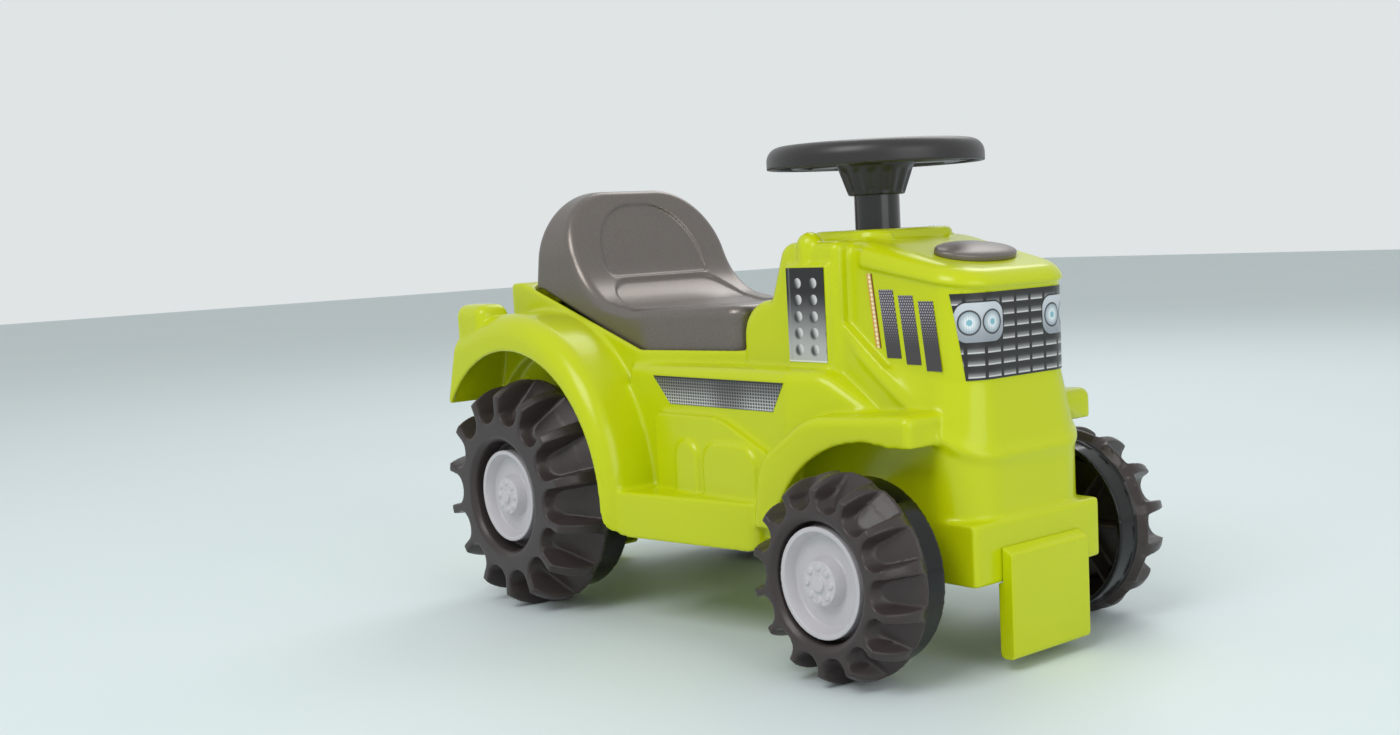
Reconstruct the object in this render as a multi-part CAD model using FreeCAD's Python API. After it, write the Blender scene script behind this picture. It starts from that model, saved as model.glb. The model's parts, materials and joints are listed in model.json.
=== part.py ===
import FreeCAD, Part
import math
import os

# A toy tractor that a small child sits on and pushes along with the feet.
# Lengths are in millimetres. X runs forward from the rear axle, Y to the tractor's left and
# Z up from the ground. Each piece is moved once, at the end, so that the origin lies under
# the middle of the whole toy.
Vector = FreeCAD.Vector
sides = {"left": 1, "right": -1}

# Wheels and their places
wheelbase = 335.0
overall_width = 278.0         # over the rear tyres
rear_wheel_radius = 85.0
rear_wheel_width = 62.0
rear_band_width = 20.0        # smooth ring on the inner side of the tread
rear_lug_height = 7.5
front_wheel_radius = 64.0
front_wheel_width = 50.0
front_band_width = 17.0
front_lug_height = 6.0
front_wheel_inset = 5.0       # the front wheels stand this much nearer the middle
lug_count = 14
lug_share = 0.2               # part of each pitch that the tip of a lug takes up
lug_step = 2.0                # height of the lugs where they start at the smooth ring
lug_level = 16.0              # length of a lug at its full height
tread_shoulder = 2.5
wheel_wall = 3.5
wheel_rib_count = 7
wheel_rib_wall = 2.5
rear_pocket_gap = 7.0         # dark ring round each hub cap
front_pocket_gap = 3.0
hub_tube_wall = 4.0
hub_tube_inset = 8.0          # the hub tube stops this far inside the inner rim

# Hub caps
hub_radius = 34.0
hub_rim_width = 3.0
hub_dish_depth = 8.0
hub_boss_radius = 16.0
hub_boss_draft = 2.5
hub_wall = 2.0
hub_cap_depth = 12.0
rear_hub_drop = 5.0           # boss and rim lie this much below the tyre wall
front_hub_drop = 3.0
hub_nub_radius = 5.0
hub_nub_height = 2.0
nut_count = 8
nut_circle = 10.0
nut_radius = 2.1
nut_height = 1.2

# Axles and what holds the wheels on them
axle_radius = 5.0
axle_fit = 0.08               # running gap round an axle
axle_boss_wall = 3.0
axle_end_reach = 7.0          # axle past the web of the wheel
push_cap_radius = 10.0
push_cap_width = 3.0
push_cap_wall = 1.5
push_fit = 0.02               # gap of pressed and screwed pieces
end_gap = 0.3                 # end play between wheels, sleeves and caps
sleeve_wall = 4.0

# Body shell
body_wall = 3.0
wheel_side_gap = 7.0          # between the rear wheels and the body
belly_height = 65.0
tail_face = -80.0             # rear wall of the body, from the rear axle
tail_break_round = 20.0
tail_top_round = 8.0
ledge_height = 183.0          # top of the side panels
panel_proud = 15.0            # side panels outside the middle of the body
panel_lap = 11.0              # rear end of the side panels under the rear mudguard
panel_front_reach = 3.0       # front end of the side panels, before the front axle
panel_front_proud = 2.0       # front end of the side panels outside the apron
panel_round = 9.0
panel_taper = 30.0            # the panels run in from this far behind the bonnet
panel_taper_round = 20.0
panel_fall = 36.0             # drop of the panels' top at their front end
panel_fall_start = 6.0
panel_fall_round = 30.0
panel_nose_round = 12.0
sill_height = 32.0
sill_rear_inset = 5.0         # inside the edge of the rear mudguard
sill_front_inset = 3.0        # inside the foot of the front mudguard
sill_lap = 5.0                # sill under the foot of the front mudguard
sill_rear_lap = 6.0           # sill under the rear mudguard
sill_plan_round = 12.0
sill_rear_round = 16.0
sill_front_round = 9.0
bulge_proud = 6.0
bulge_length = 121.0
bulge_drop = 33.0             # below the top of the panels
bulge_lap = 11.0              # bulge into the foot of the front mudguard
bulge_fall_length = 51.0
bulge_fall = 22.0
bulge_rear_round = 6.0
bulge_fall_round = 50.0
bulge_front_round = 14.0
pad_proud = 3.0
pad_start = 25.0
pad_widths = (24.0, 54.0)
pad_gap = 6.0
pad_drop = 17.0
pad_round = 14.0

# Rear mudguards
rear_arch_gap = 22.0          # tyre to the edge of the mudguard
rear_guard_band = 20.0        # width of the mudguard's side band
rear_guard_inset = 12.0       # edge of the mudguard inside the tyre wall
rear_guard_round = 16.0
guard_centre_back = 8.0       # the crown is struck from a point behind and above the axle
guard_centre_rise = 7.0
tail_tip_back = 9.0           # tip of the mudguard behind the tail wall
tail_tip_height = 151.0
tail_corner_ahead = 9.0
tail_height = 206.0
tail_straight = 17.0          # from the corner of the tail to the round crown
bump_length = 40.0
bump_width = 28.0
bump_rise = 20.0
bump_depth = 15.0             # foot of the bump below the corner of the tail
bump_overhang = 4.0
bump_side_inset = 2.0
bump_round = 9.0

# Front mudguards
front_arch_gap = 14.0
front_guard_band = 18.0
front_guard_reach = 35.0      # tip before the front axle
front_guard_lip = 20.0
front_guard_rear_inset = 33.0     # foot and tip of the mudguard inside the tyre wall
front_guard_tip_inset = 47.0
front_guard_round = 6.0
front_knee = (6.0, 44.0)      # bend above the foot, forward and up from it
front_knee_round = 30.0
front_brow = (48.0, 4.0)      # start of the level top, forward of the foot and below the crown
front_brow_round = 40.0

# Tub and storage well
ledge_width = 5.0             # side panels beside the tub
tub_wall_gap = 15.0           # tail wall to the back of the tub
tub_rise = 48.0               # back of the tub above the level rim
tub_round = 10.0
tub_plan_round = 8.0
rim_rise = 9.0                # level rim above the side panels
rim_level = 74.0              # length of the level rim behind the hinge
rim_round = 10.0
tub_front_inset = 1.0         # the tub runs in towards the dash block, to inside its sides
tub_taper_round = 60.0
well_wall = 4.0
well_rear_gap = 23.0          # back of the tub to the well
well_floor = 105.0
well_rear_round = 14.0
well_front_round = 14.0

# Dash, bonnet, apron and bumper
dash_set_back = 96.0          # top edge of the dash behind the front axle
dash_lean = 14.0
dash_depth = 52.0             # top edge of the dash to the front of its block
dash_foot_rise = 34.0         # foot of the dash above the level rim
dash_rise = 37.0
dash_shoulder = 29.0          # length of the shoulder behind the dash
dash_heel_round = 25.0
dash_foot_round = 4.0
dash_top_round = 11.0
pillar_inset = 7.0            # dash block inside the middle of the body
pillar_round = 6.0
pillar_top_round = 5.0
exhaust_box_proud = 4.0       # raised box that carries the exhaust label
exhaust_box_margin = 2.0
bonnet_level = 11.0           # level top before the block of the dash
bonnet_break_round = 30.0
bonnet_fall = 22.0
bonnet_round = 12.0
nose_set_in = 7.0             # bonnet narrower than the apron on each side
nose_set_back = 5.5           # grille behind the face of the apron
nose_round = 26.0
apron_wheel_gap = 24.0        # sides of the apron to the front wheels
apron_reach = 56.5            # face of the apron before the front axle
apron_bottom = 55.0
apron_round = 30.0
crease_drop = 52.0            # crease on the nose below the top of the side panels
crease_slope = 0.80           # rise of the crease per length towards the dash
flare_rise = 42.0             # height of the sweep from apron to bonnet, at the front
flare_slope = 0.2
flare_least = 3.0             # height of the sweep at its rear end
bumper_proud = 3.5
bumper_round = 8.0
bumper_edge_round = 2.0
bumper_height = 38.0
bumper_arm = 49.0
collar_length = 63.0
collar_half = 42.0
collar_rise = 6.0
collar_sink = 12.0
collar_rear_round = 14.0
collar_front_round = 18.0
collar_edge_round = 3.0
stack_radius = 9.0
stack_set_back = 30.0         # behind the front of the dash block
stack_sink = 1.0              # the stack stands behind the face of its box
stack_rise = 6.5              # above the bonnet
stack_gap = 2.0               # foot of the stack above the exhaust label

# Stabilisers
leg_half = 37.0
leg_wall = 3.0
leg_fit = 0.2
front_leg_proud = 8.0         # before the face of the bumper
front_leg_foot = 8.0
front_leg_lap = 22.0          # height of the leg on the bumper
front_leg_depth = 11.0
rear_leg_proud = 32.0         # behind the tail wall
rear_leg_foot = 12.0
rear_leg_lap = 11.0
leg_hook_half = 26.0
leg_hook_height = 24.0        # hook behind the body's wall
leg_step = 8.0                # the foot of the rear leg stands further back than its neck
leg_bevel = 4.0
leg_screw_spread = 40.0
screw_radius = 2.0
screw_head_radius = 4.0
screw_head_height = 2.5
screw_bite = 4.5              # screw into the leg
screw_room = 0.5              # hole past the point of the screw

# Steering
steering_set_back = 25.0      # column behind the front of the dash block
steering_rise = 56.0          # top of the rim above the collar
rim_radius = 71.5             # outside of the rim
rim_width = 19.0
rim_height = 15.0
rim_wall = 3.0
column_radius = 15.0
column_fit = 0.08
column_wall = 3.0
column_top_wall = 8.0
guide_wall = 3.5
guide_depth = 64.0
guide_floor_wall = 4.0
stem_radius = 6.0
stem_reach = 14.0
push_nut_radius = 12.0
push_nut_width = 4.0
hub_flare_radius = 26.0
hub_foot_radius = 18.5
hub_cone_height = 21.0
hub_plate = 6.0
hub_drop = 7.0                # top of the hub below the top of the rim
spoke_count = 3
spoke_width = 22.0
spoke_thickness = 7.0
steer_screw_radius = 2.5
steer_screw_length = 13.0
steer_head_radius = 5.0
steer_head_height = 3.0

# Bonnet cap
cap_set_back = 36.0           # behind the grille
cap_half_length = 18.0
cap_half_width = 33.0
cap_edge = 3.0
cap_crown = 4.0
cap_spigot_share = 0.6
cap_spigot_depth = 6.0
cap_fit = 0.1

# Seat
seat_wall = 3.5
seat_side_gap = 1.5
seat_rear_gap = 5.0           # rear of the well to the foot of the backrest
seat_rear_lean = 13.0
seat_back_top = (33.0, 115.0)     # forward of the foot and above the level rim
seat_back_foot = (71.0, 36.0)
seat_low = (121.0, 28.0)
seat_front_lap = 12.5         # front edge before the hinge
seat_front_rise = 30.0
seat_sink = 5.0               # skirt below the rim of the tub
seat_arch_round = 50.0
seat_edge_round = 7.0
seat_lap_round = 60.0         # between backrest and pan
seat_pan_round = 45.0
seat_front_round = 16.0
seat_panel_depth = 2.0
back_panel_half = 47.0
back_panel_low = 50.0         # above the level rim
back_panel_high = 105.0
back_panel_low_round = 5.0
back_panel_high_round = 42.0
pan_panel_margin = 13.0       # inside the front edge and the front corners of the pan
pan_panel_half = 59.0
pan_panel_rear = 68.0         # forward of the foot of the backrest
pan_panel_rear_round = 22.0
pan_panel_front_round = 12.0
rest_depth = 12.0
rest_half = 50.0
rest_height = 12.0
rest_gap = 0.3
hinge_set_back = 21.0         # behind the dash block
hinge_rise = 14.0             # above the level rim
hinge_radius = 3.0
hinge_fit = 0.08
post_half = 46.0              # outer faces of the hinge posts in the well
post_round = 8.5
post_web_drop = 26.0          # web before each post, below the hinge
hinge_side_gap = 1.2          # seat to each post
hinge_lug_round = 6.5
peg_radius = 4.0
peg_length = 14.0
peg_places = (77.0, 137.0)    # forward of the foot of the backrest

# Labels
label_thickness = 0.4
label_glue = 0.05
grille_rise = 4.0             # above the sweep of the apron
grille_top_half = 50.0
grille_bottom_half = 45.0
exhaust_label_rear = 43.0     # behind the front of the dash block
exhaust_label_front = 8.0
exhaust_label_rise = 4.0      # above the side panels
exhaust_label_drop = 16.0     # below the bonnet
mesh_start = 28.0             # forward of the rear end of the panels
mesh_end = 31.0               # behind the front of the dash block
mesh_drop = 8.0               # below the top of the panels
mesh_height = 19.0
mesh_rear_slant = 18.0
mesh_front_slant = 11.0
slot_start = 26.0             # forward of the dash block
slot_pitch = 16.5
slot_width = 12.0
slot_drop = 31.0              # below the bonnet
slot_fall = 3.5               # each slot starts this much lower than the one behind it
slot_height = 42.0
slot_lean = 5.5
slot_count = 3
strip_start = 16.0
strip_width = 4.5
strip_drop = 21.0
strip_height = 46.0
dash_label_half = 36.0
dash_label_margin = 1.5       # inside the flat part of the dash

# Room for cutting blocks, and slack for edges that are picked by their place
spare = 20.0
far = 2000.0
near = 1.0
tiny = 0.01

# Places that follow from the sizes above
rear_axle_z = rear_wheel_radius
front_axle_z = front_wheel_radius
rear_outer = overall_width / 2
rear_inner = rear_outer - rear_wheel_width
front_outer = rear_outer - front_wheel_inset
front_inner = front_outer - front_wheel_width
core_half = rear_inner - wheel_side_gap
apron_half = front_inner - apron_wheel_gap
panel_half = core_half + panel_proud
panel_front_half = apron_half + panel_front_proud
pillar_half = core_half - pillar_inset
tub_half = panel_half - ledge_width
tub_front_half = pillar_half - tub_front_inset
rear_guard_half = rear_outer - rear_guard_inset
front_guard_rear_half = front_outer - front_guard_rear_inset
front_guard_tip_half = front_outer - front_guard_tip_inset
sill_rear_half = rear_guard_half - sill_rear_inset
sill_front_half = front_guard_rear_half - sill_front_inset
rear_arch = rear_wheel_radius + rear_arch_gap
front_arch = front_wheel_radius + front_arch_gap
front_guard_heel = wheelbase - front_arch - front_guard_band
front_guard_tip = wheelbase + front_guard_reach
panel_rear = rear_arch - panel_lap
panel_front = wheelbase + panel_front_reach
sill_front = front_guard_heel + sill_lap
bulge_front = front_guard_heel + bulge_lap
bulge_rear = bulge_front - bulge_length
bulge_top = ledge_height - bulge_drop
tail_tip = (tail_face - tail_tip_back, tail_tip_height)
tail_corner = (tail_face + tail_corner_ahead, tail_height)
tail_arc_start = tail_corner[0] + tail_straight
tub_rear = tail_face + tub_wall_gap
well_rear = tub_rear + well_rear_gap
well_half = tub_half - well_wall
well_front_half = tub_front_half - well_wall
post_inner = post_half - well_wall
level_rim = ledge_height + rim_rise
tub_rear_height = level_rim + tub_rise
dash_x = wheelbase - dash_set_back
dash_foot = (dash_x - dash_lean, level_rim + dash_foot_rise)
dash_top = (dash_x, dash_foot[1] + dash_rise)
dash_heel = dash_foot[0] - dash_shoulder
pillar_front = dash_x + dash_depth
bonnet_height = dash_top[1]
bonnet_break = pillar_front + bonnet_level
apron_face = wheelbase + apron_reach
nose_face = apron_face - nose_set_back
nose_half = apron_half - nose_set_in
nose_height = bonnet_height - bonnet_fall
crease_front = ledge_height - crease_drop
flare_front = crease_front + flare_rise
bumper_face = apron_face + bumper_proud
bumper_rear = bumper_face - bumper_arm
collar_rear = dash_x + near
collar_front = collar_rear + collar_length
collar_height = bonnet_height + collar_rise
stack_x = pillar_front - stack_set_back
stack_height = bonnet_height + stack_rise
front_leg_top = apron_bottom + front_leg_lap
rear_leg_top = belly_height + rear_leg_lap
front_hook_back = apron_face - body_wall - leg_fit - leg_wall
rear_hook_back = tail_face + body_wall + leg_fit + leg_wall
front_grip = bumper_face - front_hook_back + screw_bite
rear_grip = rear_hook_back - tail_face + screw_bite
front_end = bumper_face + front_leg_proud
rear_end = tail_face - rear_leg_proud
middle_x = (front_end + rear_end) / 2
steering_x = pillar_front - steering_set_back
overall_height = collar_height + steering_rise
guide_floor = collar_height - guide_depth
cap_x = nose_face - cap_set_back
hinge_x = dash_heel - hinge_set_back
hinge_z = level_rim + hinge_rise
rim_break = (hinge_x - rim_level, level_rim)
seat_rear_foot = well_rear + seat_rear_gap
seat_front = (hinge_x + seat_front_lap, level_rim + seat_front_rise)
seat_pan_low = level_rim + seat_low[1]
seat_half = well_half - seat_side_gap
seat_front_half = well_front_half - seat_side_gap


def on_side(u, v):
    """Point of a side view: forward and up."""
    return Vector(u, 0, v)


def on_plan(u, v):
    """Point of a plan view: forward and to the left."""
    return Vector(u, v, 0)


def on_front(u, v):
    """Point of a front view: to the left and up."""
    return Vector(0, u, v)


def rounded_face(corners, place):
    """Flat face through corners of (u, v, radius), each rounded by a tangent arc."""
    stops = []
    for index, (u, v, radius) in enumerate(corners):
        here = place(u, v)
        before = place(*corners[index - 1][:2])
        after = place(*corners[(index + 1) % len(corners)][:2])
        back = (before - here).normalize()
        ahead = (after - here).normalize()
        half_angle = back.getAngle(ahead) / 2
        if radius == 0 or half_angle > math.pi / 2 - 1e-6:
            stops.append((here, None, here))
            continue
        reach = radius / math.tan(half_angle)
        bisector = (back + ahead).normalize()
        crown = here + bisector * (radius / math.sin(half_angle) - radius)
        stops.append((here + back * reach, crown, here + ahead * reach))
    edges = []
    for index, (start, crown, finish) in enumerate(stops):
        if crown is not None:
            edges.append(Part.Arc(start, crown, finish).toShape())
        following = stops[(index + 1) % len(stops)][0]
        if finish.distanceToPoint(following) > 1e-6:
            edges.append(Part.LineSegment(finish, following).toShape())
    return Part.Face(Part.Wire(Part.__sortEdges__(edges)))


def inset_face(face, inset):
    """The same flat face drawn in by a wall."""
    if inset == 0:
        return face
    return face.makeOffset2D(-inset)


def side_prism(corners, half_width, inset=0.0):
    """Side view outline carried across the toy, from one half width to the other."""
    face = inset_face(rounded_face(corners, on_side), inset)
    face.translate(Vector(0, inset - half_width, 0))
    return face.extrude(Vector(0, 2 * (half_width - inset), 0))


def plan_prism(corners, low, high, inset=0.0):
    """Plan outline raised from one height to another."""
    face = inset_face(rounded_face(corners, on_plan), inset)
    face.translate(Vector(0, 0, low))
    return face.extrude(Vector(0, 0, high - low))


def front_prism(corners, start, finish, inset=0.0):
    """Front view outline carried forward from one station to another."""
    face = inset_face(rounded_face(corners, on_front), inset)
    face.translate(Vector(start, 0, 0))
    return face.extrude(Vector(finish - start, 0, 0))


def box(x_low, x_high, y_low, y_high, z_low, z_high):
    corner = Vector(x_low, y_low, z_low)
    return Part.makeBox(x_high - x_low, y_high - y_low, z_high - z_low, corner)


def cross_rod(radius, x, z, y_low, y_high):
    """Round bar along Y."""
    return Part.makeCylinder(radius, y_high - y_low, Vector(x, y_low, z), Vector(0, 1, 0))


def upright(radius, x, y, z_low, z_high):
    """Round bar along Z."""
    return Part.makeCylinder(radius, z_high - z_low, Vector(x, y, z_low))


def mirrored(shape):
    """The same piece on the other side of the toy."""
    return shape.mirror(Vector(0, 0, 0), Vector(0, 1, 0))


def both_sides(shape):
    return [shape, mirrored(shape)]


def fused(shapes):
    first = shapes[0]
    return first.fuse(shapes[1:]).removeSplitter()


def rounded(solid, radius, chosen):
    """Round the edges for which chosen(edge) holds."""
    edges = [edge for edge in solid.Edges if chosen(edge)]
    return solid.makeFillet(radius, edges)


def is_sharp(solid, edge):
    """True where the two faces beside an edge meet at an angle."""
    middle = edge.valueAt((edge.FirstParameter + edge.LastParameter) / 2)
    normals = []
    for face in solid.ancestorsOfType(edge, Part.Face):
        u, v = face.Surface.parameter(middle)
        normals.append(face.normalAt(u, v))
    return len(normals) == 2 and normals[0].getAngle(normals[1]) > math.radians(15)


def lies_at(edge, axis, value):
    """True where an edge lies wholly in a plane across one axis."""
    box_of_edge = edge.BoundBox
    low = getattr(box_of_edge, axis + "Min")
    high = getattr(box_of_edge, axis + "Max")
    return abs(low - value) < 1e-4 and abs(high - value) < 1e-4


def open_below(height, inset):
    """Inside blocks run past the lower edge, so that the body stays open there."""
    return height - spare if inset else height


def exhaust_window():
    """Rear, front, low and high edge of an exhaust label."""
    low = ledge_height + exhaust_label_rise
    high = bonnet_height - exhaust_label_drop
    return pillar_front - exhaust_label_rear, pillar_front - exhaust_label_front, low, high


def rear_guard_face(inset, foot):
    """Side view of a rear mudguard: a round crown with a straight tail."""
    radius = rear_arch + rear_guard_band - inset
    centre_x = -guard_centre_back
    centre_z = rear_axle_z + guard_centre_rise
    foot_x = centre_x + math.sqrt(radius ** 2 - (foot - centre_z) ** 2)
    start_z = centre_z + math.sqrt(radius ** 2 - (tail_arc_start - centre_x) ** 2)
    front = on_side(foot_x, foot)
    top = on_side(centre_x + radius * math.sin(math.pi / 5), centre_z + radius * math.cos(math.pi / 5))
    back = on_side(tail_arc_start, start_z)
    corner = on_side(tail_corner[0] + inset, tail_corner[1] - inset)
    tip = on_side(tail_tip[0] + inset, tail_tip[1])
    inside = on_side(0, foot)
    edges = [Part.Arc(front, top, back).toShape()]
    stops = [back, corner, tip, inside, front]
    for start, finish in zip(stops, stops[1:]):
        edges.append(Part.LineSegment(start, finish).toShape())
    return Part.Face(Part.Wire(edges))


def rear_guard(inset, y_low, y_high, foot, edge_round):
    """Left rear mudguard as a solid, rounded along its outer edge."""
    face = rear_guard_face(inset, foot)
    face.translate(Vector(0, y_low, 0))
    solid = face.extrude(Vector(0, y_high - y_low, 0))

    def outer_crown(edge):
        size = edge.BoundBox
        crown = size.ZMax > tail_tip[1] and size.XMax > tail_corner[0] + inset + near
        return crown and lies_at(edge, "Y", y_high)

    return rounded(solid, edge_round, outer_crown)


def rear_bump(inset, bottom):
    """Rounded lamp-like bump on the tail of the left mudguard."""
    x_low = tail_corner[0] - bump_overhang
    y_high = rear_guard_half - bump_side_inset
    solid = box(
        x_low + inset, x_low + bump_length - inset,
        y_high - bump_width + inset, y_high - inset,
        bottom, tail_corner[1] + bump_rise - inset,
    )
    return rounded(solid, bump_round - inset, lambda edge: edge.BoundBox.ZMax > bottom + near)


def front_guard(inset, y_low):
    """Left front mudguard: rises behind the wheel and runs level to a blunt tip."""
    crown = front_axle_z + front_arch + front_guard_band
    heel = front_guard_heel
    low = front_axle_z + front_guard_band
    tip_low = crown - front_guard_lip - inset
    outline = [
        (heel, low, 0), (heel + front_knee[0], low + front_knee[1], front_knee_round),
        (heel + front_brow[0], crown - front_brow[1], front_brow_round),
        (front_guard_tip, crown, 2 * body_wall), (front_guard_tip, tip_low, 0),
        (wheelbase, tip_low, 0), (wheelbase, low, 0),
    ]
    face = inset_face(rounded_face(outline, on_side), inset)
    face.translate(Vector(0, y_low, 0))
    band = face.extrude(Vector(0, front_guard_rear_half + spare - y_low, 0))
    plan = [
        (heel - spare, 0, 0), (front_guard_tip + spare, 0, 0),
        (front_guard_tip + spare, front_guard_tip_half - inset, 0),
        (front_guard_tip, front_guard_tip_half - inset, 0),
        (heel, front_guard_rear_half - inset, 0), (heel - spare, front_guard_rear_half - inset, 0),
    ]
    block = band.common(plan_prism(plan, 0, crown + spare))

    def outer_crown(edge):
        size = edge.BoundBox
        middle = edge.valueAt((edge.FirstParameter + edge.LastParameter) / 2)
        outside = size.YMin > front_guard_tip_half - inset - near
        upper = middle.z > tip_low + near
        rear = middle.x < heel + front_brow[0] and middle.z > low + near
        return outside and size.XLength > near and (upper or rear)

    return rounded(block, front_guard_round - inset, outer_crown)


def side_panels(inset):
    """Upper side panels, which taper into the front of the body."""
    low = open_below(belly_height, inset)
    fall_start = pillar_front - panel_fall_start
    taper_start = pillar_front - panel_taper
    outline = [
        (panel_rear, low, 0), (panel_rear, ledge_height, 0), (fall_start, ledge_height, panel_fall_round),
        (panel_front, ledge_height - panel_fall, panel_nose_round), (panel_front, low, 0),
    ]
    plan = [
        (panel_rear, -panel_half, 0), (taper_start, -panel_half, panel_taper_round),
        (panel_front, -panel_front_half, 0), (panel_front, panel_front_half, 0),
        (taper_start, panel_half, panel_taper_round), (panel_rear, panel_half, 0),
    ]
    slab = side_prism(outline, panel_half + spare, inset)
    block = slab.common(plan_prism(plan, 0, ledge_height + spare, inset))

    def shoulder(edge):
        size = edge.BoundBox
        apart = min(abs(size.YMin), abs(size.YMax)) > panel_front_half - inset - near
        outside = apart and size.YMin * size.YMax > 0
        return outside and size.ZMin > ledge_height - panel_fall - inset - near and size.XLength > near

    return rounded(block, panel_round - inset, shoulder)


def sills(inset):
    """Lower sills, which run in towards the front wheels."""
    start = panel_rear - sill_rear_lap
    plan = [
        (start, -sill_rear_half, 0), (sill_front, -sill_front_half, sill_plan_round),
        (sill_front, sill_front_half, sill_plan_round), (start, sill_rear_half, 0),
    ]
    return plan_prism(plan, open_below(belly_height, inset), belly_height + sill_height - inset, inset)


def sill_corners():
    """What the rounded lower corners leave out, behind and before each sill."""
    cutters = []
    for x, direction, radius in ((rear_arch, 1, sill_rear_round), (sill_front, -1, sill_front_round)):
        centre = x + direction * radius
        ends = sorted((centre, x - direction * radius))
        corner = box(ends[0], ends[1], core_half, overall_width, belly_height - radius, belly_height + radius)
        corner = corner.cut(cross_rod(radius, centre, belly_height + radius, 0, overall_width))
        cutters += both_sides(corner)
    return cutters


def bulge(inset):
    """Engine bulge on both side panels, curved down at the front."""
    outline = [
        (bulge_rear, belly_height, 0), (bulge_rear, bulge_top, bulge_rear_round),
        (bulge_front - bulge_fall_length, bulge_top, bulge_fall_round),
        (bulge_front, bulge_top - bulge_fall, bulge_front_round), (bulge_front, belly_height, 0),
    ]
    return side_prism(outline, panel_half + bulge_proud, inset)


def pads():
    """Two raised pads with round tops on each bulge."""
    shapes = []
    start = bulge_rear + pad_start
    low = belly_height + sill_height - body_wall
    high = bulge_top - pad_drop
    for width in pad_widths:
        top_round = min(width / 2 - tiny, pad_round, high - low - tiny)
        finish = start + width
        outline = [(start, low, 0), (start, high, top_round), (finish, high, top_round), (finish, low, 0)]
        shapes.append(side_prism(outline, panel_half + bulge_proud + pad_proud))
        start = finish + pad_gap
    return shapes


def core(inset):
    """Middle of the body between the wheels, with the tail wall."""
    low = open_below(belly_height, inset)
    deck = ledge_height - well_wall
    outline = [
        (tail_face, low, 0), (tail_face, rear_leg_top + leg_hook_height, tail_break_round),
        (tail_corner[0] - body_wall, tail_height, tail_top_round), (well_rear, tail_height, 0),
        (well_rear, deck, 0), (pillar_front, deck, 0), (pillar_front, low, 0),
    ]
    return side_prism(outline, core_half, inset)


def tub(inset):
    """Outside of the tub under the seat, with its sloping rim."""
    front = dash_heel + spare
    rim = [
        (tub_rear, well_floor, 0), (tub_rear, tub_rear_height, tub_round),
        (well_rear - well_wall, tub_rear_height, well_wall), (rim_break[0], rim_break[1], rim_round),
        (front, rim_break[1], 0), (front, well_floor, 0),
    ]
    plan = [
        (tub_rear, -tub_half, tub_plan_round), (rim_break[0], -tub_half, tub_taper_round),
        (dash_heel, -tub_front_half, 0), (front, -tub_front_half, 0), (front, tub_front_half, 0),
        (dash_heel, tub_front_half, 0), (rim_break[0], tub_half, tub_taper_round),
        (tub_rear, tub_half, tub_plan_round),
    ]
    slab = side_prism(rim, tub_half + spare, inset)
    return slab.common(plan_prism(plan, 0, tub_rear_height + spare, inset))


def well_block(grow, low, high):
    """Storage well under the seat; a positive grow gives the outside of its wall."""
    plan = [
        (well_rear, -well_half, well_rear_round), (rim_break[0], -well_half, tub_taper_round),
        (dash_heel, -well_front_half, well_front_round), (dash_heel, well_front_half, well_front_round),
        (rim_break[0], well_half, tub_taper_round), (well_rear, well_half, well_rear_round),
    ]
    return plan_prism(plan, low, high, -grow)


def well():
    """Space inside the well, with humps over the rear wheels."""
    hump = cross_rod(rear_arch + well_wall, 0.0, rear_axle_z, core_half - well_wall, overall_width)
    return well_block(0.0, well_floor, far).cut(both_sides(hump))


def hinge_posts():
    """Posts in the well, webbed to its front wall, that hold the seat's pins."""
    end = cross_rod(post_round, hinge_x, hinge_z, post_inner, post_half)
    low = well_floor - well_wall / 2
    post = box(hinge_x - post_round, hinge_x + post_round, post_inner, post_half, low, hinge_z)
    web = box(hinge_x, dash_heel + well_wall / 2, post_inner, post_half, low, hinge_z - post_web_drop)
    return both_sides(fused([end, post, web]))


def pillar(inset):
    """Block that carries the dash and the exhaust labels."""
    low = belly_height if inset else ledge_height - spare
    outline = [
        (dash_heel, low, 0), (dash_heel, dash_foot[1], dash_heel_round), (*dash_foot, dash_foot_round),
        (*dash_top, dash_top_round), (pillar_front, bonnet_height, pillar_top_round), (pillar_front, low, 0),
    ]
    solid = side_prism(outline, pillar_half, inset)
    if inset:
        return solid

    def side_edge(edge):
        outside = lies_at(edge, "Y", pillar_half) or lies_at(edge, "Y", -pillar_half)
        return outside and edge.BoundBox.ZMax > ledge_height

    return rounded(solid, pillar_round, side_edge)


def exhaust_boxes():
    """Raised boxes under the exhaust labels."""
    rear, front, low, high = exhaust_window()
    margin = exhaust_box_margin
    block = box(rear - margin, front + margin, pillar_half - body_wall, pillar_half + exhaust_box_proud,
                ledge_height - body_wall, high + margin)
    return both_sides(rounded(block, exhaust_box_margin, lambda edge: is_sharp(block, edge)
                              and edge.BoundBox.YMin > pillar_half and edge.BoundBox.ZMax > ledge_height))


def nose_plan(half, face, corner, rear):
    return [(rear, -half, 0), (face, -half, corner), (face, half, corner), (rear, half, 0)]


def nose(inset):
    """Bonnet from the pillar to the grille, with a rounded top."""
    low = crease_front - spare
    rear = pillar_front - spare
    outline = [
        (rear, low, 0), (rear, bonnet_height, 0), (bonnet_break, bonnet_height, bonnet_break_round),
        (nose_face, nose_height, 0), (nose_face, low, 0),
    ]
    slab = side_prism(outline, nose_half + spare, inset)
    plan = nose_plan(nose_half, nose_face, nose_round, rear)
    block = slab.common(plan_prism(plan, 0, bonnet_height + spare, inset))

    def top_edge(edge):
        size = edge.BoundBox
        across = size.XLength < tiny and size.XMax < nose_face - inset - near
        return size.ZMin > nose_height - inset - near and not across

    return rounded(block, bonnet_round - inset, top_edge)


def crease_height(x):
    return crease_front + (apron_face - x) * crease_slope


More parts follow.
